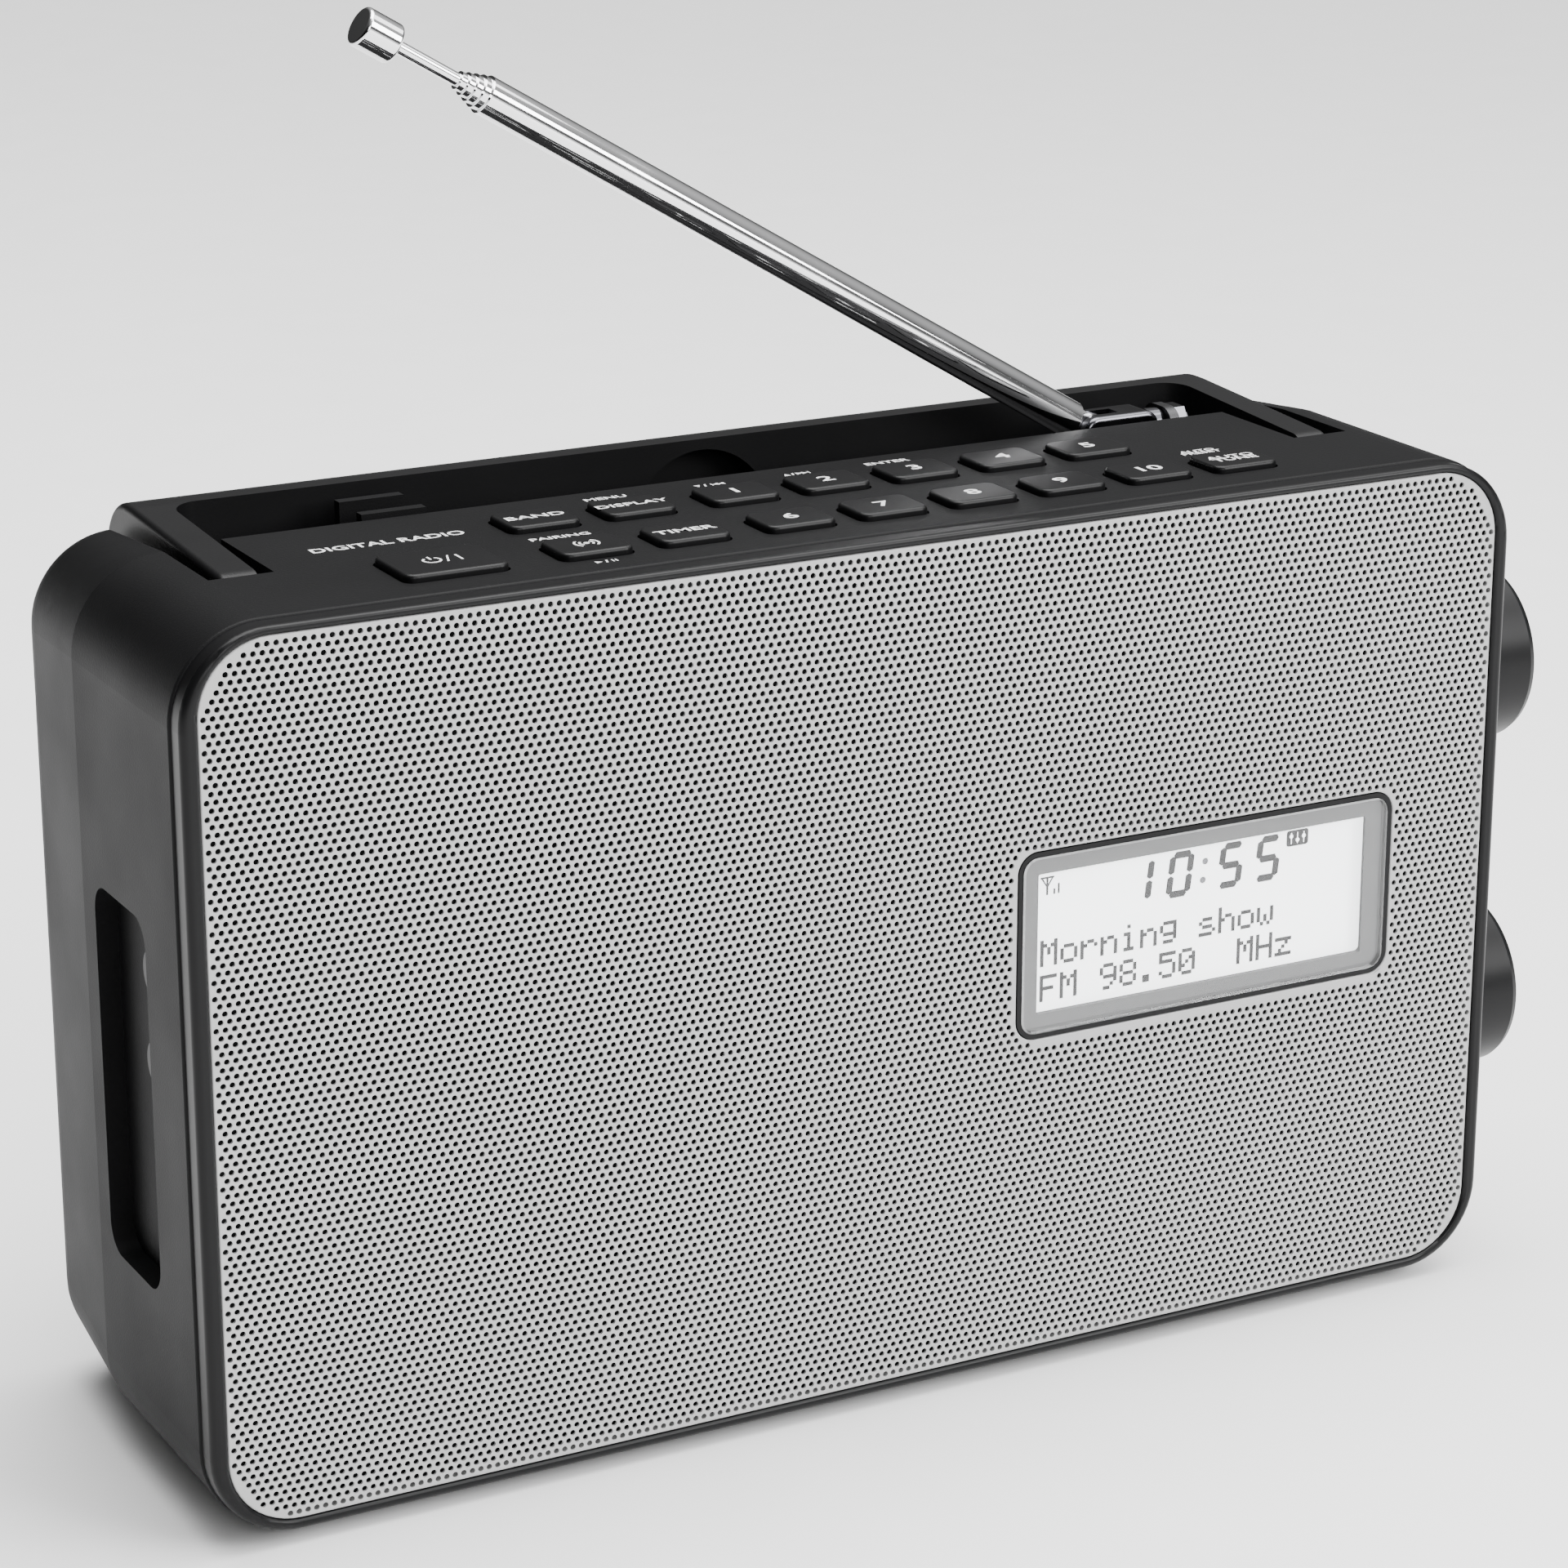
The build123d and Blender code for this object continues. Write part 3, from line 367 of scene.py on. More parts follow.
def bars(name, outlines, spot, material, thickness):
    """Flat marks: each outline is a closed run of (a, b), and spot(a, b, lift) places a point."""
    shape = bmesh.new()
    for outline in outlines:
        low = [shape.verts.new(spot(a, b, 0.0)) for a, b in outline]
        high = [shape.verts.new(spot(a, b, thickness)) for a, b in outline]
        shape.faces.new(low)
        shape.faces.new(high)
        for i in range(len(outline)):
            j = (i + 1) % len(outline)
            shape.faces.new((low[i], low[j], high[j], high[i]))
    mesh = bpy.data.meshes.new(name)
    bmesh.ops.recalc_face_normals(shape, faces=shape.faces)
    shape.to_mesh(mesh)
    shape.free()
    return new_object(name, mesh, material)


def run_nodes(tree, name, mesh, values):
    """Runs a Geometry Nodes tree on a mesh and returns the result as a plain object."""
    source = new_object(name + "_source", mesh)
    modifier = source.modifiers.new("shape", "NODES")
    modifier.node_group = tree
    for item in tree.interface.items_tree:
        if item.item_type == "SOCKET" and item.in_out == "INPUT" and item.name in values:
            modifier[item.identifier] = values[item.name]
    graph = bpy.context.evaluated_depsgraph_get()
    mesh = bpy.data.meshes.new_from_object(source.evaluated_get(graph))
    bpy.data.objects.remove(source)
    mesh.name = name
    return new_object(name, mesh)


# ---------------------------------------------------------------- perforated front sheet

GRILLE_CENTRE = (0.0, 80.8)
GRILLE_SIZE = (249.2, 152.5, 12.6)
SHEET_FRONT_Y = 0.5
SHEET_THICKNESS = 0.45
HEM_BACK_Y = 3.0
FOLD_RADIUS = 0.3
HOLE_PITCH = 1.575
HOLE_RADIUS = 0.52
HOLE_SIDES = 12

lens_low, lens_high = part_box("display_lens")
LENS_CENTRE = ((lens_low.x + lens_high.x) / 2 / MM - CABINET_MIDDLE / MM,
               (lens_low.z + lens_high.z) / 2 / MM)
LENS_SIZE = ((lens_high.x - lens_low.x) / MM, (lens_high.z - lens_low.z) / MM, 2.9)
WINDOW_GAP = 1.1
WINDOW_SIZE = (LENS_SIZE[0] + 2 * WINDOW_GAP, LENS_SIZE[1] + 2 * WINDOW_GAP, LENS_SIZE[2] + WINDOW_GAP)
WINDOW_BACK_Y = 2.2

STRIP_ROWS = 15
STRIP_COUNT = 8


def make_outline_group():
    """Distance to a rectangle with round corners in the XZ plane, and the nearest point on it."""
    group = bpy.data.node_groups.new("round rectangle", "GeometryNodeTree")
    given, made = sockets(
        group,
        {"Centre": (VECTOR, None), "Width": (FLOAT, 0.1), "Height": (FLOAT, 0.1), "Corner": (FLOAT, 0.01)},
        {"Distance": FLOAT, "Nearest": VECTOR})
    less_corner = sums(group, "MULTIPLY", given["Corner"], -1.0)
    half = add(group, "ShaderNodeCombineXYZ",
               {"X": sums(group, "MULTIPLY_ADD", given["Width"], 0.5, less_corner),
                "Z": sums(group, "MULTIPLY_ADD", given["Height"], 0.5, less_corner)})
    spot = add(group, "GeometryNodeInputPosition").outputs[0]
    here = vectors(group, "SUBTRACT", spot, given["Centre"])
    here = vectors(group, "MULTIPLY", here, (1.0, 0.0, 1.0))
    folded = vectors(group, "ABSOLUTE", here)
    core = vectors(group, "MINIMUM", folded, half.outputs[0])
    beyond = vectors(group, "SUBTRACT", folded, core)
    reach = vectors(group, "LENGTH", beyond, output="Value")
    short = add(group, "ShaderNodeSeparateXYZ",
                {"Vector": vectors(group, "SUBTRACT", folded, half.outputs[0])})
    inner = sums(group, "MINIMUM", sums(group, "MAXIMUM", short.outputs["X"], short.outputs["Z"]), 0.0)
    wire(group, made["Distance"],
         sums(group, "ADD", sums(group, "SUBTRACT", reach, given["Corner"]), inner))
    rim = scaled(group, vectors(group, "NORMALIZE", beyond), given["Corner"])
    nearest = vectors(group, "MULTIPLY", vectors(group, "ADD", core, rim), vectors(group, "SIGN", here))
    wire(group, made["Nearest"], vectors(group, "ADD", nearest, given["Centre"]))
    return group


def make_hexagon_group():
    """One cell of the sheet: a hexagon of twelve points that faces -Y, with or without its hole."""
    group = bpy.data.node_groups.new("sheet cell", "GeometryNodeTree")
    given, made = sockets(
        group, {"Pitch": (FLOAT, 0.001), "Hole Radius": (FLOAT, 0.0004)}, {"Plain": SHAPE, "Pierced": SHAPE})
    disc = add(group, "GeometryNodeMeshCircle", {"Vertices": HOLE_SIDES, "Radius": 1.0}, fill_type="NGON")
    spot = add(group, "GeometryNodeInputPosition").outputs[0]
    odd = sums(group, "MODULO", add(group, "GeometryNodeInputIndex").outputs[0], 2.0)
    reach = sums(group, "MULTIPLY_ADD", odd, 1 / math.sqrt(3) - 0.5, 0.5)
    flat = scaled(group, spot, sums(group, "MULTIPLY", reach, given["Pitch"]))
    hexagon = add(group, "GeometryNodeSetPosition", {"Geometry": disc.outputs[0], "Position": flat})
    upright = add(group, "GeometryNodeTransform",
                  {"Geometry": hexagon.outputs[0], "Rotation": (math.pi / 2, 0.0, 0.0)})
    wire(group, made["Plain"], upright.outputs[0])
    inner = add(group, "GeometryNodeExtrudeMesh", {"Mesh": hexagon.outputs[0], "Offset Scale": 0.0})
    round_spot = scaled(group, vectors(group, "NORMALIZE", spot), given["Hole Radius"])
    pierced = add(group, "GeometryNodeSetPosition",
                  {"Geometry": inner.outputs["Mesh"], "Selection": inner.outputs["Top"],
                   "Position": round_spot})
    opened = add(group, "GeometryNodeDeleteGeometry",
                 {"Geometry": pierced.outputs[0], "Selection": inner.outputs["Top"]}, domain="FACE")
    upright = add(group, "GeometryNodeTransform",
                  {"Geometry": opened.outputs[0], "Rotation": (math.pi / 2, 0.0, 0.0)})
    wire(group, made["Pierced"], upright.outputs[0])
    return group


# Shares of the hole pitch: how far a cell's middle may lie past the outline and still be kept,
# how far inside it has to lie to be pierced, and how near a corner has to be to move onto the outline.
KEEP_CELL = 0.52
PIERCE_CELL = -0.40
SNAP_BAND = 0.06
# Corners closer than WELD, in metres, are joined.
# Faces smaller than SLIVER_AREA, in square metres, are dropped.
WELD = 1e-6
SLIVER_AREA = 2e-9


def make_sheet_tree():
    """A band of rows of the perforated sheet, cut to its outline and to the display's window."""
    tree = bpy.data.node_groups.new("perforated sheet", "GeometryNodeTree")
    given, made = sockets(
        tree,
        {"Geometry": (SHAPE, None), "Centre": (VECTOR, None), "Width": (FLOAT, 0.2), "Height": (FLOAT, 0.1),
         "Corner": (FLOAT, 0.01), "Window Centre": (VECTOR, None), "Window Width": (FLOAT, 0.1),
         "Window Height": (FLOAT, 0.1), "Window Corner": (FLOAT, 0.01), "Pitch": (FLOAT, 0.001),
         "Hole Radius": (FLOAT, 0.0004), "Thickness": (FLOAT, 0.001), "Columns": (WHOLE, 10),
         "First Row": (WHOLE, 0), "Rows": (WHOLE, 10), "Paint": (PAINT, None)},
        {"Geometry": SHAPE})
    pitch = given["Pitch"]

    index = add(tree, "GeometryNodeInputIndex").outputs[0]
    row = sums(tree, "FLOOR", sums(tree, "DIVIDE", index, given["Columns"]))
    column = sums(tree, "SUBTRACT", index, sums(tree, "MULTIPLY", row, given["Columns"]))
    row = sums(tree, "ADD", row, given["First Row"])
    across = sums(tree, "MULTIPLY_ADD", sums(tree, "FLOORED_MODULO", row, 2.0), 0.5, column)
    across = sums(tree, "SUBTRACT", across, sums(tree, "MULTIPLY", given["Columns"], 0.5))
    start = add(tree, "ShaderNodeCombineXYZ",
                {"X": sums(tree, "MULTIPLY", across, pitch),
                 "Z": sums(tree, "MULTIPLY", sums(tree, "MULTIPLY", row, math.sqrt(3) / 2), pitch)})
    points = add(tree, "GeometryNodePoints", {
        "Count": sums(tree, "MULTIPLY", given["Columns"], given["Rows"]),
        "Position": vectors(tree, "ADD", start.outputs[0], given["Centre"])})

    edge = add(tree, "GeometryNodeGroup", {
        "Centre": given["Centre"], "Width": given["Width"], "Height": given["Height"],
        "Corner": given["Corner"]}, node_tree=OUTLINE)
    gap = add(tree, "GeometryNodeGroup", {
        "Centre": given["Window Centre"], "Width": given["Window Width"],
        "Height": given["Window Height"], "Corner": given["Window Corner"]}, node_tree=OUTLINE)
    inside = sums(tree, "MAXIMUM", edge.outputs["Distance"],
                  sums(tree, "MULTIPLY", gap.outputs["Distance"], -1.0))
    inside = sums(tree, "DIVIDE", inside, pitch)
    kept = sums(tree, "LESS_THAN", inside, KEEP_CELL)
    holed = sums(tree, "LESS_THAN", inside, PIERCE_CELL)
    cell = add(tree, "GeometryNodeGroup", {"Pitch": pitch, "Hole Radius": given["Hole Radius"]},
               node_tree=HEXAGON)
    pierced = add(tree, "GeometryNodeInstanceOnPoints", {
        "Points": points.outputs[0], "Selection": holed, "Instance": cell.outputs["Pierced"]})
    plain = add(tree, "GeometryNodeInstanceOnPoints", {
        "Points": points.outputs[0], "Instance": cell.outputs["Plain"],
        "Selection": sums(tree, "SUBTRACT", kept, holed)})
    both = add(tree, "GeometryNodeJoinGeometry")
    tree.links.new(pierced.outputs[0], both.inputs[0])
    tree.links.new(plain.outputs[0], both.inputs[0])
    cells = add(tree, "GeometryNodeRealizeInstances", {"Geometry": both.outputs[0]})
    cells = add(tree, "GeometryNodeMergeByDistance", {"Geometry": cells.outputs[0], "Distance": WELD})

    reach = sums(tree, "MULTIPLY", pitch, SNAP_BAND)
    past_edge = sums(tree, "GREATER_THAN", sums(tree, "ADD", edge.outputs["Distance"], reach), 0.0)
    trimmed = add(tree, "GeometryNodeSetPosition", {
        "Geometry": cells.outputs[0], "Selection": past_edge, "Position": edge.outputs["Nearest"]})
    past_gap = sums(tree, "LESS_THAN", gap.outputs["Distance"], reach)
    trimmed = add(tree, "GeometryNodeSetPosition", {
        "Geometry": trimmed.outputs[0], "Selection": past_gap, "Position": gap.outputs["Nearest"]})
    trimmed = add(tree, "GeometryNodeMergeByDistance", {"Geometry": trimmed.outputs[0], "Distance": WELD})
    sliver = sums(tree, "LESS_THAN", add(tree, "GeometryNodeInputMeshFaceArea").outputs[0], SLIVER_AREA)
    trimmed = add(tree, "GeometryNodeDeleteGeometry",
                  {"Geometry": trimmed.outputs[0], "Selection": sliver}, domain="FACE")

    depth = add(tree, "ShaderNodeCombineXYZ", {"Y": sums(tree, "MULTIPLY", given["Thickness"], -1.0)})
    front = add(tree, "GeometryNodeExtrudeMesh", {
        "Mesh": trimmed.outputs[0], "Offset": depth.outputs[0], "Offset Scale": 1.0, "Individual": False})
    back = add(tree, "GeometryNodeFlipFaces", {"Mesh": trimmed.outputs[0]})
    closed = add(tree, "GeometryNodeJoinGeometry")
    tree.links.new(front.outputs["Mesh"], closed.inputs[0])
    tree.links.new(back.outputs[0], closed.inputs[0])
    closed = add(tree, "GeometryNodeMergeByDistance", {"Geometry": closed.outputs[0], "Distance": WELD})
    closed = add(tree, "GeometryNodeRealizeInstances", {"Geometry": closed.outputs[0]})
    painted = add(tree, "GeometryNodeSetMaterial",
                  {"Geometry": closed.outputs[0], "Material": given["Paint"]})
    wire(tree, made["Geometry"], painted.outputs[0])
    return tree


OUTLINE = make_outline_group()
HEXAGON = make_hexagon_group()
SHEET = make_sheet_tree()


FOLD_STEPS = 5


def fold_profile(side):
    """The sheet's rounded fold as (inset, y): side is 1 at its outer edge and -1 at the window."""
    points = []
    for step in range(FOLD_STEPS + 1):
        angle = math.pi / 2 * step / FOLD_STEPS
        points.append((side * FOLD_RADIUS * (1 - math.sin(angle)),
                       SHEET_FRONT_Y + FOLD_RADIUS * (1 - math.cos(angle))))
    return points


def make_front_sheet():
    paint = FINISHES["grille_paint"]
    back_y = SHEET_FRONT_Y + SHEET_THICKNESS
    columns = round(GRILLE_SIZE[0] / HOLE_PITCH) + 2
    columns += columns % 2
    for strip in range(STRIP_COUNT):
        sheet = run_nodes(SHEET, f"front_sheet_{strip + 1}", bpy.data.meshes.new("sheet"), {
            "Centre": place(GRILLE_CENTRE[0], back_y, GRILLE_CENTRE[1]),
            "Width": (GRILLE_SIZE[0] - 2 * FOLD_RADIUS) * MM,
            "Height": (GRILLE_SIZE[1] - 2 * FOLD_RADIUS) * MM,
            "Corner": (GRILLE_SIZE[2] - FOLD_RADIUS) * MM,
            "Window Centre": place(LENS_CENTRE[0], back_y, LENS_CENTRE[1]),
            "Window Width": (WINDOW_SIZE[0] + 2 * FOLD_RADIUS) * MM,
            "Window Height": (WINDOW_SIZE[1] + 2 * FOLD_RADIUS) * MM,
            "Window Corner": (WINDOW_SIZE[2] + FOLD_RADIUS) * MM,
            "Pitch": HOLE_PITCH * MM, "Hole Radius": HOLE_RADIUS * MM,
            "Thickness": SHEET_THICKNESS * MM, "Columns": columns,
            "First Row": (strip - STRIP_COUNT // 2) * STRIP_ROWS, "Rows": STRIP_ROWS,
            "Paint": paint})
        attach(sheet, "cabinet")
        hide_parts("speaker_grille")
    hem = round_frame(
        "front_sheet_hem", GRILLE_CENTRE, GRILLE_SIZE,
        fold_profile(1) + [(0.0, HEM_BACK_Y), (SHEET_THICKNESS, HEM_BACK_Y),
                           (SHEET_THICKNESS, back_y), (FOLD_RADIUS, back_y)], paint)
    window_hem = round_frame(
        "display_window_hem", LENS_CENTRE, WINDOW_SIZE,
        fold_profile(-1) + [(0.0, WINDOW_BACK_Y), (-FOLD_RADIUS, WINDOW_BACK_Y)], paint)
    for piece in (hem, window_hem):
        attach(piece, "cabinet")


make_front_sheet()

# ---------------------------------------------------------------- display

INK = 0.05 * MM
INK_GAP = 0.01 * MM
DISPLAY_FACE_Y = (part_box("lcd_panel")[0].y - CABINET_FRONT) / MM
DISPLAY_LEFT = 29.8
DISPLAY_RIGHT = 99.2
DISPLAY_BOTTOM = 68.2
DISPLAY_TOP = 94.3

ink = grained("display ink", (0.002, 0.002, 0.003), 0.7, 2000, 0.0, **DULL_SHEEN)
pale_ink = grained("half lit display ink", (0.09, 0.09, 0.10), 0.5, 2000, 0.0)
border_paint = grained("grey display border", (0.06, 0.06, 0.061), 0.35, 2400, 0.0, 0.05)


def on_display(x, z, lift):
    return place(x, DISPLAY_FACE_Y, z) - Vector((0.0, lift + INK_GAP, 0.0))


DIGIT_WIDTH = 5.2
DIGIT_HEIGHT = 8.6
DIGIT_STROKE = 1.3
DIGIT_SLANT = 0.12
DIGIT_GAP = 0.12
DIGIT_POINT = 0.6

# Segments of a digit, each from one corner to another: columns 0 and 1, rows 0, 1 and 2 from below.
SEGMENTS = {
    "a": ((0, 2), (1, 2)), "b": ((1, 1), (1, 2)), "c": ((1, 0), (1, 1)), "d": ((0, 0), (1, 0)),
    "e": ((0, 0), (0, 1)), "f": ((0, 1), (0, 2)), "g": ((0, 1), (1, 1)),
}
DIGITS = {"0": "abcdef", "1": "bc", "5": "acdfg"}


def digit_bars(digit, left, bottom):
    outlines = []
    half = DIGIT_STROKE / 2
    for letter in DIGITS[digit]:
        (column, row), (column_2, row_2) = SEGMENTS[letter]
        wide, tall = DIGIT_WIDTH - DIGIT_STROKE, (DIGIT_HEIGHT - DIGIT_STROKE) / 2
        x, z = half + column * wide, half + row * tall
        x_2, z_2 = half + column_2 * wide, half + row_2 * tall
        along = Vector((x_2 - x, z_2 - z)).normalized()
        side = Vector((-along.y, along.x)) * half
        start, end = Vector((x, z)) + along * DIGIT_GAP, Vector((x_2, z_2)) - along * DIGIT_GAP
        point = along * half * DIGIT_POINT
        points = [start, start + side + point, end + side - point,
                  end, end - side - point, start - side + point]
        outlines.append([(left + p.x + DIGIT_SLANT * p.y, bottom + p.y) for p in points])
    return outlines


def ring_points(x, z, radius, count=16):
    return [(x + radius * math.cos(2 * math.pi * i / count),
             z + radius * math.sin(2 * math.pi * i / count)) for i in range(count)]


CLOCK_BOTTOM = 84.5
CLOCK_STARTS = {49.2: "1", 57.6: "0", 68.4: "5", 76.4: "5"}
COLON_X = 65.3
COLON_HEIGHTS = (86.9, 90.4)
COLON_RADIUS = 0.62


def make_clock():
    outlines = []
    for left, digit in CLOCK_STARTS.items():
        outlines += digit_bars(digit, left, CLOCK_BOTTOM)
    clock = bars("display_clock", outlines, on_display, ink, INK)
    dots = [ring_points(COLON_X + DIGIT_SLANT * (z - CLOCK_BOTTOM), z, COLON_RADIUS)
            for z in COLON_HEIGHTS]
    colon = bars("display_colon", dots, on_display, pale_ink, INK)
    for piece in (clock, colon):
        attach(piece, "cabinet")


def upright(left, right, low, high):
    """A rectangle's corners, from its sides."""
    return [(left, low), (right, low), (right, high), (left, high)]


SIGNAL_X = 32.9
SIGNAL_LOW, SIGNAL_TOP = 89.4, 92.8
SIGNAL_HALF_STROKE = 0.2
SIGNAL_REACH = 1.4
SIGNAL_CAP = 0.3
SIGNAL_ARM_INSIDE = 1.05
SIGNAL_ARM_FEET = (1.75, 2.15)
STRENGTH_BARS = {34.2: 1.0, 35.1: 1.9}
STRENGTH_WIDTH = 0.35
BADGE_MIDDLE = (85.85, 91.75)
BADGE_SIZE = (4.7, 3.0, 0.5)
SLIDER_LOW, SLIDER_TOP = 90.7, 92.8
SLIDER_HALF_WIDTH = 0.09
SLIDER_LEVELS = {84.5: 0.4, 85.85: -0.4, 87.2: 0.2}
SLIDER_KNOB = 0.4


def make_display_icons():
    """A mast with two strength bars, and a dark badge with three sliders."""
    outlines = [
        upright(SIGNAL_X - SIGNAL_HALF_STROKE, SIGNAL_X + SIGNAL_HALF_STROKE, SIGNAL_LOW, SIGNAL_TOP),
        upright(SIGNAL_X - SIGNAL_REACH, SIGNAL_X + SIGNAL_REACH, SIGNAL_TOP, SIGNAL_TOP - SIGNAL_CAP),
    ]
    for side in (-1, 1):
        outlines.append([(SIGNAL_X + side * SIGNAL_REACH, SIGNAL_TOP),
                         (SIGNAL_X + side * SIGNAL_ARM_INSIDE, SIGNAL_TOP),
                         (SIGNAL_X, SIGNAL_TOP - SIGNAL_ARM_FEET[0]),
                         (SIGNAL_X, SIGNAL_TOP - SIGNAL_ARM_FEET[1])])
    for x, height in STRENGTH_BARS.items():
        outlines.append(upright(x, x + STRENGTH_WIDTH, SIGNAL_LOW, SIGNAL_LOW + height))
    mast = bars("display_signal", outlines, on_display, ink, INK)
    badge = [(BADGE_MIDDLE[0] + x, BADGE_MIDDLE[1] + z) for x, z in corner_points(*BADGE_SIZE, 4)]
    badge = bars("display_badge", [badge], on_display, ink, INK)
    marks = []
    for x, level in SLIDER_LEVELS.items():
        marks.append(upright(x - SLIDER_HALF_WIDTH, x + SLIDER_HALF_WIDTH, SLIDER_LOW, SLIDER_TOP))
        marks.append(ring_points(x, BADGE_MIDDLE[1] + level, SLIDER_KNOB, 10))
    sliders = bars("display_badge_sliders", marks,
                   lambda x, z, lift: on_display(x, z, lift + INK), FINISHES["display"], INK)
    for piece in (mast, badge, sliders):
        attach(piece, "cabinet")


# Letters of five dots by seven, row by row from the top.
LETTERS = {
    "M": "10001 11011 10101 10101 10001 10001 10001",
    "o": "00000 00000 01110 10001 10001 10001 01110",
    "r": "00000 00000 10110 11001 10000 10000 10000",
    "n": "00000 00000 10110 11001 10001 10001 10001",
    "i": "00100 00000 01100 00100 00100 00100 01110",
    "g": "00000 01111 10001 10001 01111 00001 01110",
    "s": "00000 00000 01110 10000 01110 00001 11110",
    "h": "10000 10000 10110 11001 10001 10001 10001",
    "w": "00000 00000 10001 10001 10101 10101 01010",
    "F": "11111 10000 10000 11110 10000 10000 10000",
    "9": "01110 10001 10001 01111 00001 00010 01100",
    "8": "01110 10001 10001 01110 10001 10001 01110",
    "5": "11111 10000 11110 00001 00001 10001 01110",
    "0": "01110 10001 10011 10101 11001 10001 01110",
    ".": "00000 00000 00000 00000 00000 01100 01100",
    "H": "10001 10001 10001 11111 10001 10001 10001",
    "z": "00000 00000 11111 00010 00100 01000 11111",
    " ": "00000 00000 00000 00000 00000 00000 00000",
}
TEXT_LEFT = 31.7
LETTER_PITCH = 4.17
DOT_PITCH = 0.71
DOT_SIZE = 0.70
TEXT_LINES = {81.0: "Morning show", 74.4: "FM 98.50  MHz"}


def make_dot_tree():
    """A small square dot on every point of a mesh."""
    tree = bpy.data.node_groups.new("display dots", "GeometryNodeTree")
    given, made = sockets(
        tree,
        {"Geometry": (SHAPE, None), "Dot Size": (VECTOR, None), "Ink": (PAINT, None)},
        {"Geometry": SHAPE})
    dot = add(tree, "GeometryNodeMeshCube", {"Size": given["Dot Size"]})
    dots = add(tree, "GeometryNodeInstanceOnPoints",
               {"Points": given["Geometry"], "Instance": dot.outputs[0]})
    dots = add(tree, "GeometryNodeRealizeInstances", {"Geometry": dots.outputs[0]})
    inked = add(tree, "GeometryNodeSetMaterial", {"Geometry": dots.outputs[0], "Material": given["Ink"]})
    wire(tree, made["Geometry"], inked.outputs[0])
    return tree


def make_display_text():
    points = []
    for top, line in TEXT_LINES.items():
        for place_in_line, letter in enumerate(line):
            for row, dots in enumerate(LETTERS[letter].split()):
                for column, dot in enumerate(dots):
                    if dot == "1":
                        x = TEXT_LEFT + place_in_line * LETTER_PITCH + (column + 0.5) * DOT_PITCH
                        points.append(on_display(x, top - (row + 0.5) * DOT_PITCH, INK / 2))
    mesh = bpy.data.meshes.new("dots")
    mesh.from_pydata(points, [], [])
    text = run_nodes(make_dot_tree(), "display_text", mesh,
                     {"Dot Size": Vector((DOT_SIZE * MM, INK, DOT_SIZE * MM)), "Ink": ink})
    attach(text, "cabinet")


BORDER_Y = 2.33
BORDER_THICKNESS = 0.04
BORDER_MARGIN = 0.3
BORDER_INNER_CORNER = 0.3
BORDER_CORNER_STEPS = 8


def make_display_border():
    """The grey border printed behind the lens, round the clear window."""
    shape = bmesh.new()
    outer = [(LENS_CENTRE[0] + x, LENS_CENTRE[1] + z)
             for x, z in corner_points(LENS_SIZE[0] - 2 * BORDER_MARGIN, LENS_SIZE[1] - 2 * BORDER_MARGIN,
                                       LENS_SIZE[2], BORDER_CORNER_STEPS)]
    middle = ((DISPLAY_LEFT + DISPLAY_RIGHT) / 2, (DISPLAY_BOTTOM + DISPLAY_TOP) / 2)
    inner = [(middle[0] + x, middle[1] + z)
             for x, z in corner_points(DISPLAY_RIGHT - DISPLAY_LEFT, DISPLAY_TOP - DISPLAY_BOTTOM,
                                       BORDER_INNER_CORNER, BORDER_CORNER_STEPS)]
    loops = []
    back_y = BORDER_Y + BORDER_THICKNESS
    for outline, y in ((outer, BORDER_Y), (inner, BORDER_Y), (inner, back_y), (outer, back_y)):
        loops.append([shape.verts.new(place(x, y, z)) for x, z in outline])
    count = len(outer)
    for ring, following in zip(loops, loops[1:] + loops[:1]):
        for i in range(count):
            j = (i + 1) % count
            shape.faces.new((ring[i], ring[j], following[j], following[i]))
    mesh = bpy.data.meshes.new("display_border")
    close_up(shape, mesh)
    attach(new_object("display_border", mesh, border_paint), "cabinet")


make_clock()
make_display_icons()
make_display_text()
make_display_border()

# ---------------------------------------------------------------- key marks

PRINT = 0.03 * MM
PRINT_BOLDNESS = 0.025
CAPITAL_SHARE = 0.7
LINE_SPACING = 0.72
PANEL_FACE = 159.0 * MM
print_white = grained("white key print", (0.62, 0.62, 0.62), 0.6, 2500, 0.0)


def word(name, text, spot, height, body, stretch):
    """Printed words that lie flat, read from the front."""
    curve = bpy.data.curves.new(name, "FONT")
    curve.body = text
    curve.align_x = "CENTER"
    curve.align_y = "CENTER"
    curve.size = height * MM / CAPITAL_SHARE
    curve.space_line = LINE_SPACING
    curve.resolution_u = 3
    curve.offset = height * MM * PRINT_BOLDNESS
    curve.extrude = PRINT / 2
    flat = new_object(name + "_text", curve)
    mesh = bpy.data.meshes.new_from_object(flat.evaluated_get(bpy.context.evaluated_depsgraph_get()))
    bpy.data.objects.remove(flat)
    for vertex in mesh.vertices:
        vertex.co = Vector((vertex.co.x * stretch, vertex.co.y, vertex.co.z + PRINT / 2)) + spot
    piece = new_object(name, mesh, print_white)
    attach(piece, body)


def top_of(node):
    low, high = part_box(node)
    return Vector(((low.x + high.x) / 2, (low.y + high.y) / 2, high.z))


def above(node, back):
    """A spot on the panel, back millimetres behind a key, or in front of it when back is negative."""
    low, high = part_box(node)
    y = high.y + back * MM if back > 0 else low.y + back * MM
    return Vector(((low.x + high.x) / 2, y, PANEL_FACE))


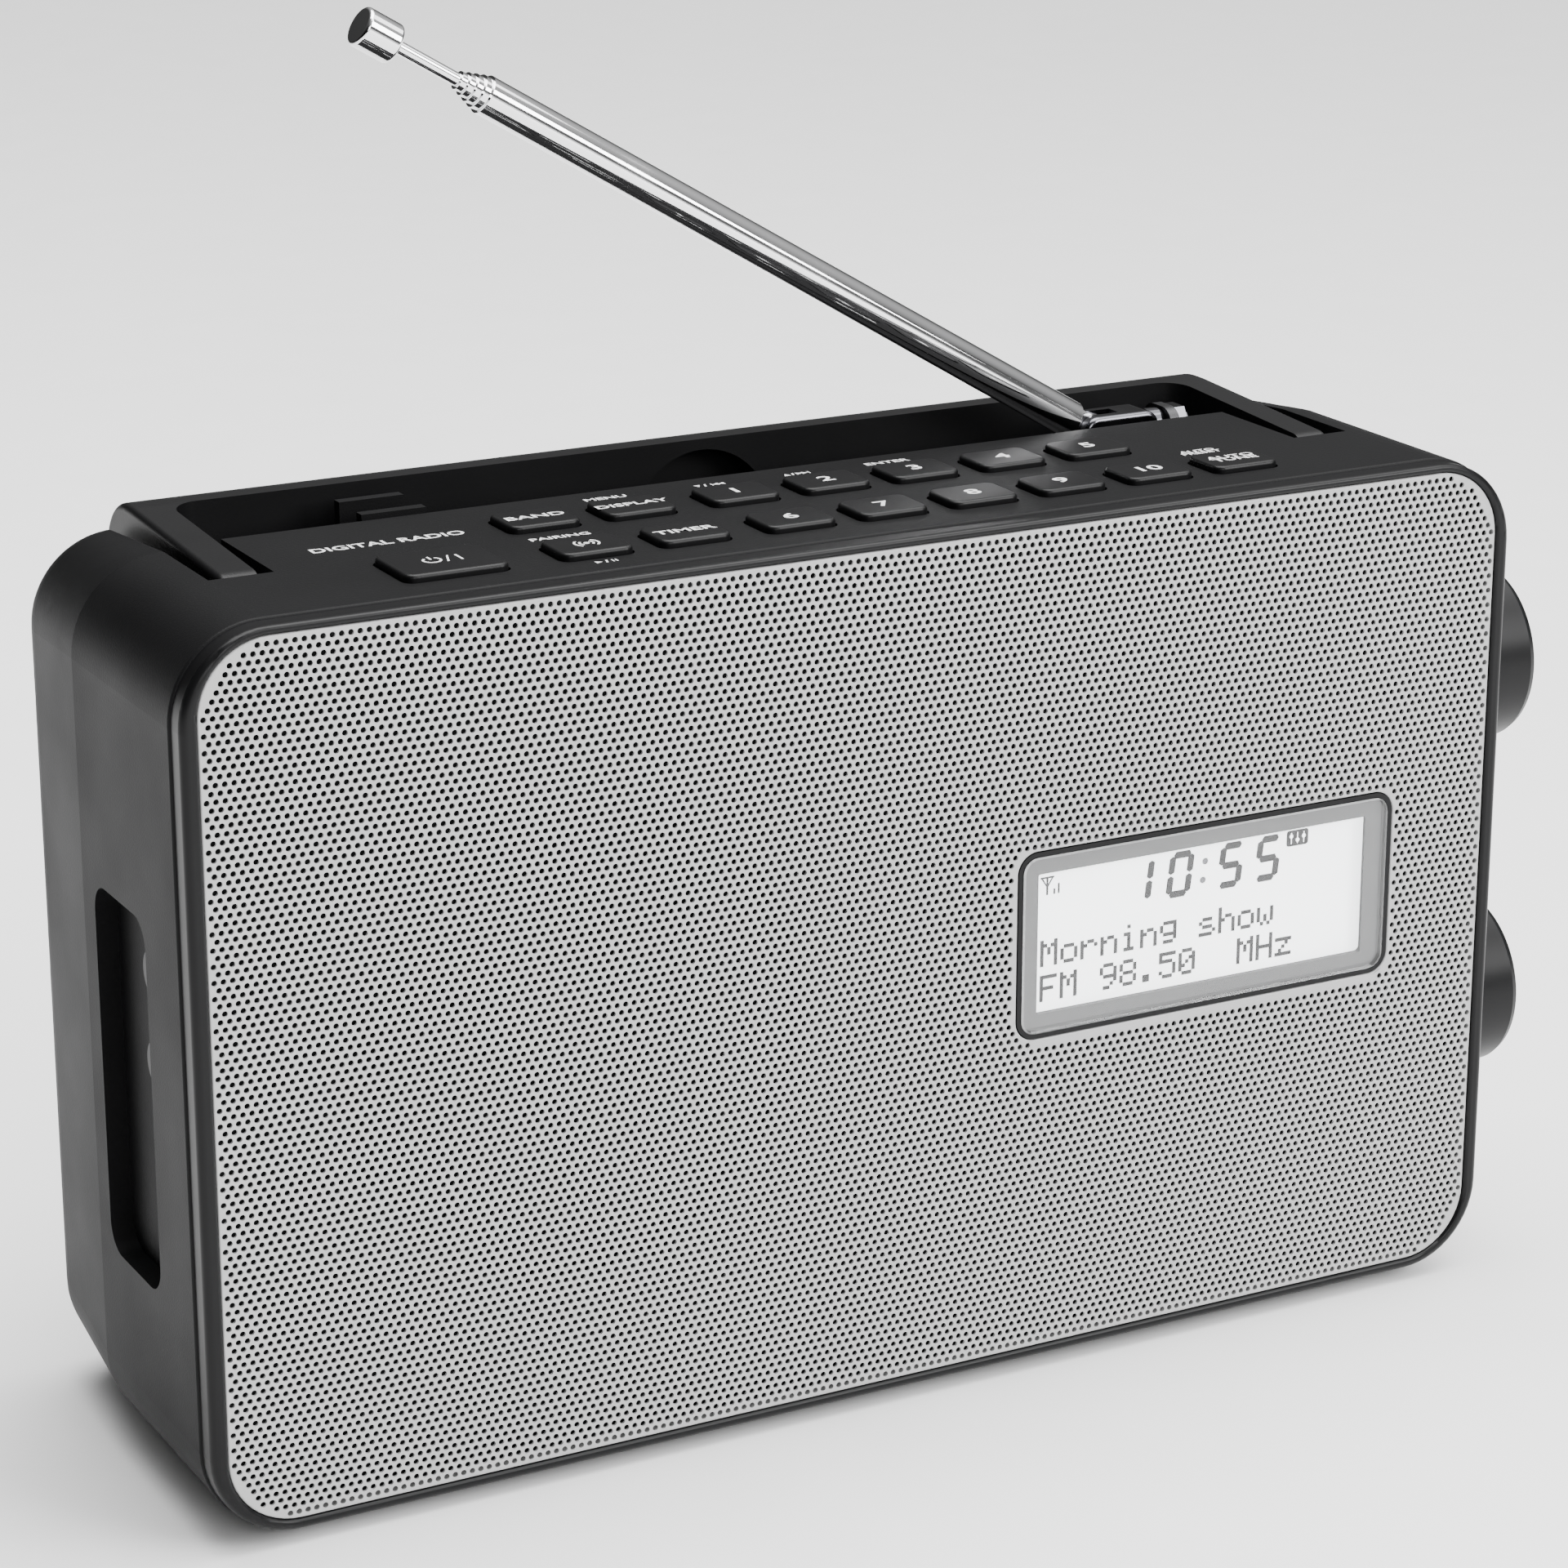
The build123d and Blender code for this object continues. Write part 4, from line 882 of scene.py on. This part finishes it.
KEY_WORDS = {"band_key": ("BAND", 2.1), "menu_key": ("DISPLAY", 1.9), "timer_key": ("TIMER", 2.1),
             "auto_tune_key": ("AUTO\nTUNE", 1.8)}
KEY_WORDS.update({f"preset_{n}_key": (str(n), 3.0) for n in range(1, 11)})
PANEL_WORDS = {"menu_key": "MENU", "wireless_key": "PAIRING", "preset_3_key": "ENTER"}
BEHIND_KEY = 4.0
BEHIND_AUTO_KEY = 4.6
BEFORE_KEY = -1.4
KEY_STRETCH = 1.35
PANEL_STRETCH = 1.3

for node, (text, height) in KEY_WORDS.items():
    word(node + "_mark", text, top_of(node), height, node, KEY_STRETCH)
for node, text in PANEL_WORDS.items():
    word(node + "_second_mark", text, above(node, BEHIND_KEY), 1.6, "cabinet", PANEL_STRETCH)
word("auto_tune_key_second_mark", "AUTO\nPRESET", above("auto_tune_key", BEHIND_AUTO_KEY), 1.4,
     "cabinet", PANEL_STRETCH)


def flat_marks(name, outlines, spot, body):
    """Printed shapes that lie flat, in millimetres about a spot."""
    def lay(a, b, lift):
        return spot + Vector((a * MM, b * MM, lift))

    piece = bars(name, outlines, lay, print_white, PRINT)
    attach(piece, body)


ARC_STEPS = 14


def arc_band(radius, width, start, end):
    """A band along an arc, in degrees."""
    angles = [math.radians(start + (end - start) * i / ARC_STEPS) for i in range(ARC_STEPS + 1)]
    outside, inside = radius + width / 2, radius - width / 2
    return ([(outside * math.cos(a), outside * math.sin(a)) for a in angles]
            + [(inside * math.cos(a), inside * math.sin(a)) for a in reversed(angles)])


def shifted(outline, x, y):
    return [(a + x, b + y) for a, b in outline]


def bar(x, y, width, height):
    return [(x - width / 2, y - height / 2), (x + width / 2, y - height / 2),
            (x + width / 2, y + height / 2), (x - width / 2, y + height / 2)]


SLASH_HALF_WIDTH = 0.18


def slash(x, height, lean):
    """A leaning stroke; lean is how far each end lies from x."""
    low, high = x - lean, x + lean
    return [(low - SLASH_HALF_WIDTH, -height / 2), (low + SLASH_HALF_WIDTH, -height / 2),
            (high + SLASH_HALF_WIDTH, height / 2), (high - SLASH_HALF_WIDTH, height / 2)]


def arrow(x, y, size, direction):
    """A triangle that points right, left, up or down."""
    turns = {"right": 0, "up": 1, "left": 2, "down": 3}
    points = [(size / 2, 0), (-size / 2, size / 2), (-size / 2, -size / 2)]
    for _ in range(turns[direction]):
        points = [(-b, a) for a, b in points]
    return shifted(points, x, y)


KEY_LINE = 0.4
POWER_SIGN_X = -1.7
WAVE_RADII = (1.2, 2.1)
WAVE_HALF_ANGLE = 50

flat_marks("power_key_mark", [
    shifted(arc_band(1.5, KEY_LINE, 125, 415), POWER_SIGN_X, 0), bar(POWER_SIGN_X, 1.3, KEY_LINE, 1.7),
    slash(1.1, 3.4, 0.6), bar(3.1, 0, KEY_LINE, 3.2)], top_of("power_key"), "power_key")
waves = [arc_band(radius, KEY_LINE, facing - WAVE_HALF_ANGLE, facing + WAVE_HALF_ANGLE)
         for facing in (0, 180) for radius in WAVE_RADII]
flat_marks("wireless_key_mark", [ring_points(0, 0, 0.55, 12), *waves],
           top_of("wireless_key"), "wireless_key")
flat_marks("play_mark", [arrow(-1.4, 0, 1.2, "right"), slash(0.0, 1.4, 0.2), bar(1.1, 0, 0.28, 1.2),
                         bar(1.75, 0, 0.28, 1.2)], above("wireless_key", BEFORE_KEY), "cabinet")
flat_marks("previous_mark", [arrow(-2.0, 0, 1.3, "down"), slash(-0.6, 1.4, 0.2), bar(0.7, 0, 0.25, 1.3),
                             arrow(1.4, 0, 1.3, "left"), arrow(2.5, 0, 1.3, "left")],
           above("preset_1_key", BEHIND_KEY), "cabinet")
flat_marks("next_mark", [arrow(-2.4, 0, 1.3, "up"), slash(-1.1, 1.4, 0.2), arrow(0.2, 0, 1.3, "right"),
                         arrow(1.3, 0, 1.3, "right"), bar(2.1, 0, 0.25, 1.3)],
           above("preset_2_key", BEHIND_KEY), "cabinet")
word("panel_title", "DIGITAL RADIO", place(-76.0, 38.0, PANEL_FACE / MM), 2.5, "cabinet", 1.1)

# ---------------------------------------------------------------- floor and light


FLOOR_REACH = 6.0


def make_floor():
    floor_mesh = bpy.data.meshes.new("floor")
    corners = upright(-FLOOR_REACH, FLOOR_REACH, -FLOOR_REACH, FLOOR_REACH)
    floor_mesh.from_pydata([(x, y, 0) for x, y in corners], [], [(0, 1, 2, 3)])
    new_object("floor", floor_mesh, grained("pale floor", (0.86, 0.86, 0.86), 0.7, 40, 0.0, 0.02))


def softbox(name, spot, target, width, height, power):
    light = bpy.data.lights.new(name, "AREA")
    light.shape = "RECTANGLE"
    light.size = width
    light.size_y = height
    light.energy = power
    obj = bpy.data.objects.new(name, light)
    bpy.context.scene.collection.objects.link(obj)
    obj.location = spot
    aim(obj, Vector(target))


SUN_SPREAD = math.radians(70)


def sun(name, spot, strength):
    """A broad even light over the whole floor."""
    light = bpy.data.lights.new(name, "SUN")
    light.energy = strength
    light.angle = SUN_SPREAD
    obj = bpy.data.objects.new(name, light)
    bpy.context.scene.collection.objects.link(obj)
    obj.location = spot
    aim(obj, Vector((0, 0, 0)))


# Brightness of the surroundings by height: 0 is straight down, 0.5 the horizon and 1 straight up.
WORLD_BELOW = 0.9
WORLD_ABOVE = 1.0
WORLD_LEVELS = {0.5: 0.12, 0.62: 0.06, 0.8: 0.5}
WORLD_DIM_SIDE = {"From Min": -0.8, "From Max": 0.6, "To Min": 0.04, "To Max": 1.0}
WORLD_STRENGTH = 1.6


def grey(level):
    return (level, level, level, 1)


def make_world():
    """Pale light that is dark near the horizon and dim towards -X."""
    world = bpy.data.worlds.new("studio")
    bpy.context.scene.world = world
    world.use_nodes = True
    tree = world.node_tree
    background = tree.nodes["Background"]
    towards = add(tree, "ShaderNodeTexCoord").outputs["Generated"]
    way = add(tree, "ShaderNodeSeparateXYZ", {"Vector": towards})
    height = add(tree, "ShaderNodeMapRange", {"Value": way.outputs["Z"], "From Min": -1.0, "From Max": 1.0})
    ramp = add(tree, "ShaderNodeValToRGB", {"Fac": height.outputs["Result"]})
    stops = ramp.color_ramp.elements
    stops[0].color = grey(WORLD_BELOW)
    stops[1].color = grey(WORLD_ABOVE)
    for spot, level in WORLD_LEVELS.items():
        stops.new(spot).color = grey(level)
    side = add(tree, "ShaderNodeMapRange", {"Value": way.outputs["X"], **WORLD_DIM_SIDE})
    lit = scaled(tree, ramp.outputs["Color"], side.outputs["Result"])
    wire(tree, background.inputs["Color"], lit)
    background.inputs["Strength"].default_value = WORLD_STRENGTH


make_floor()
make_world()
sun("light_sky", (0.6, -0.15, 1.5), 3.4)
softbox("light_top", (0.1, 0.1, 1.4), (0, 0, 0.1), 1.4, 1.0, 34.0)
softbox("light_front_right", (0.9, -1.3, 0.9), (0, 0, 0.08), 0.9, 0.9, 34.0)
softbox("light_front", (-0.3, -1.6, 0.7), (0, 0, 0.08), 0.8, 0.6, 12.0)


def plain(box):
    return [list(corner) for corner in box]
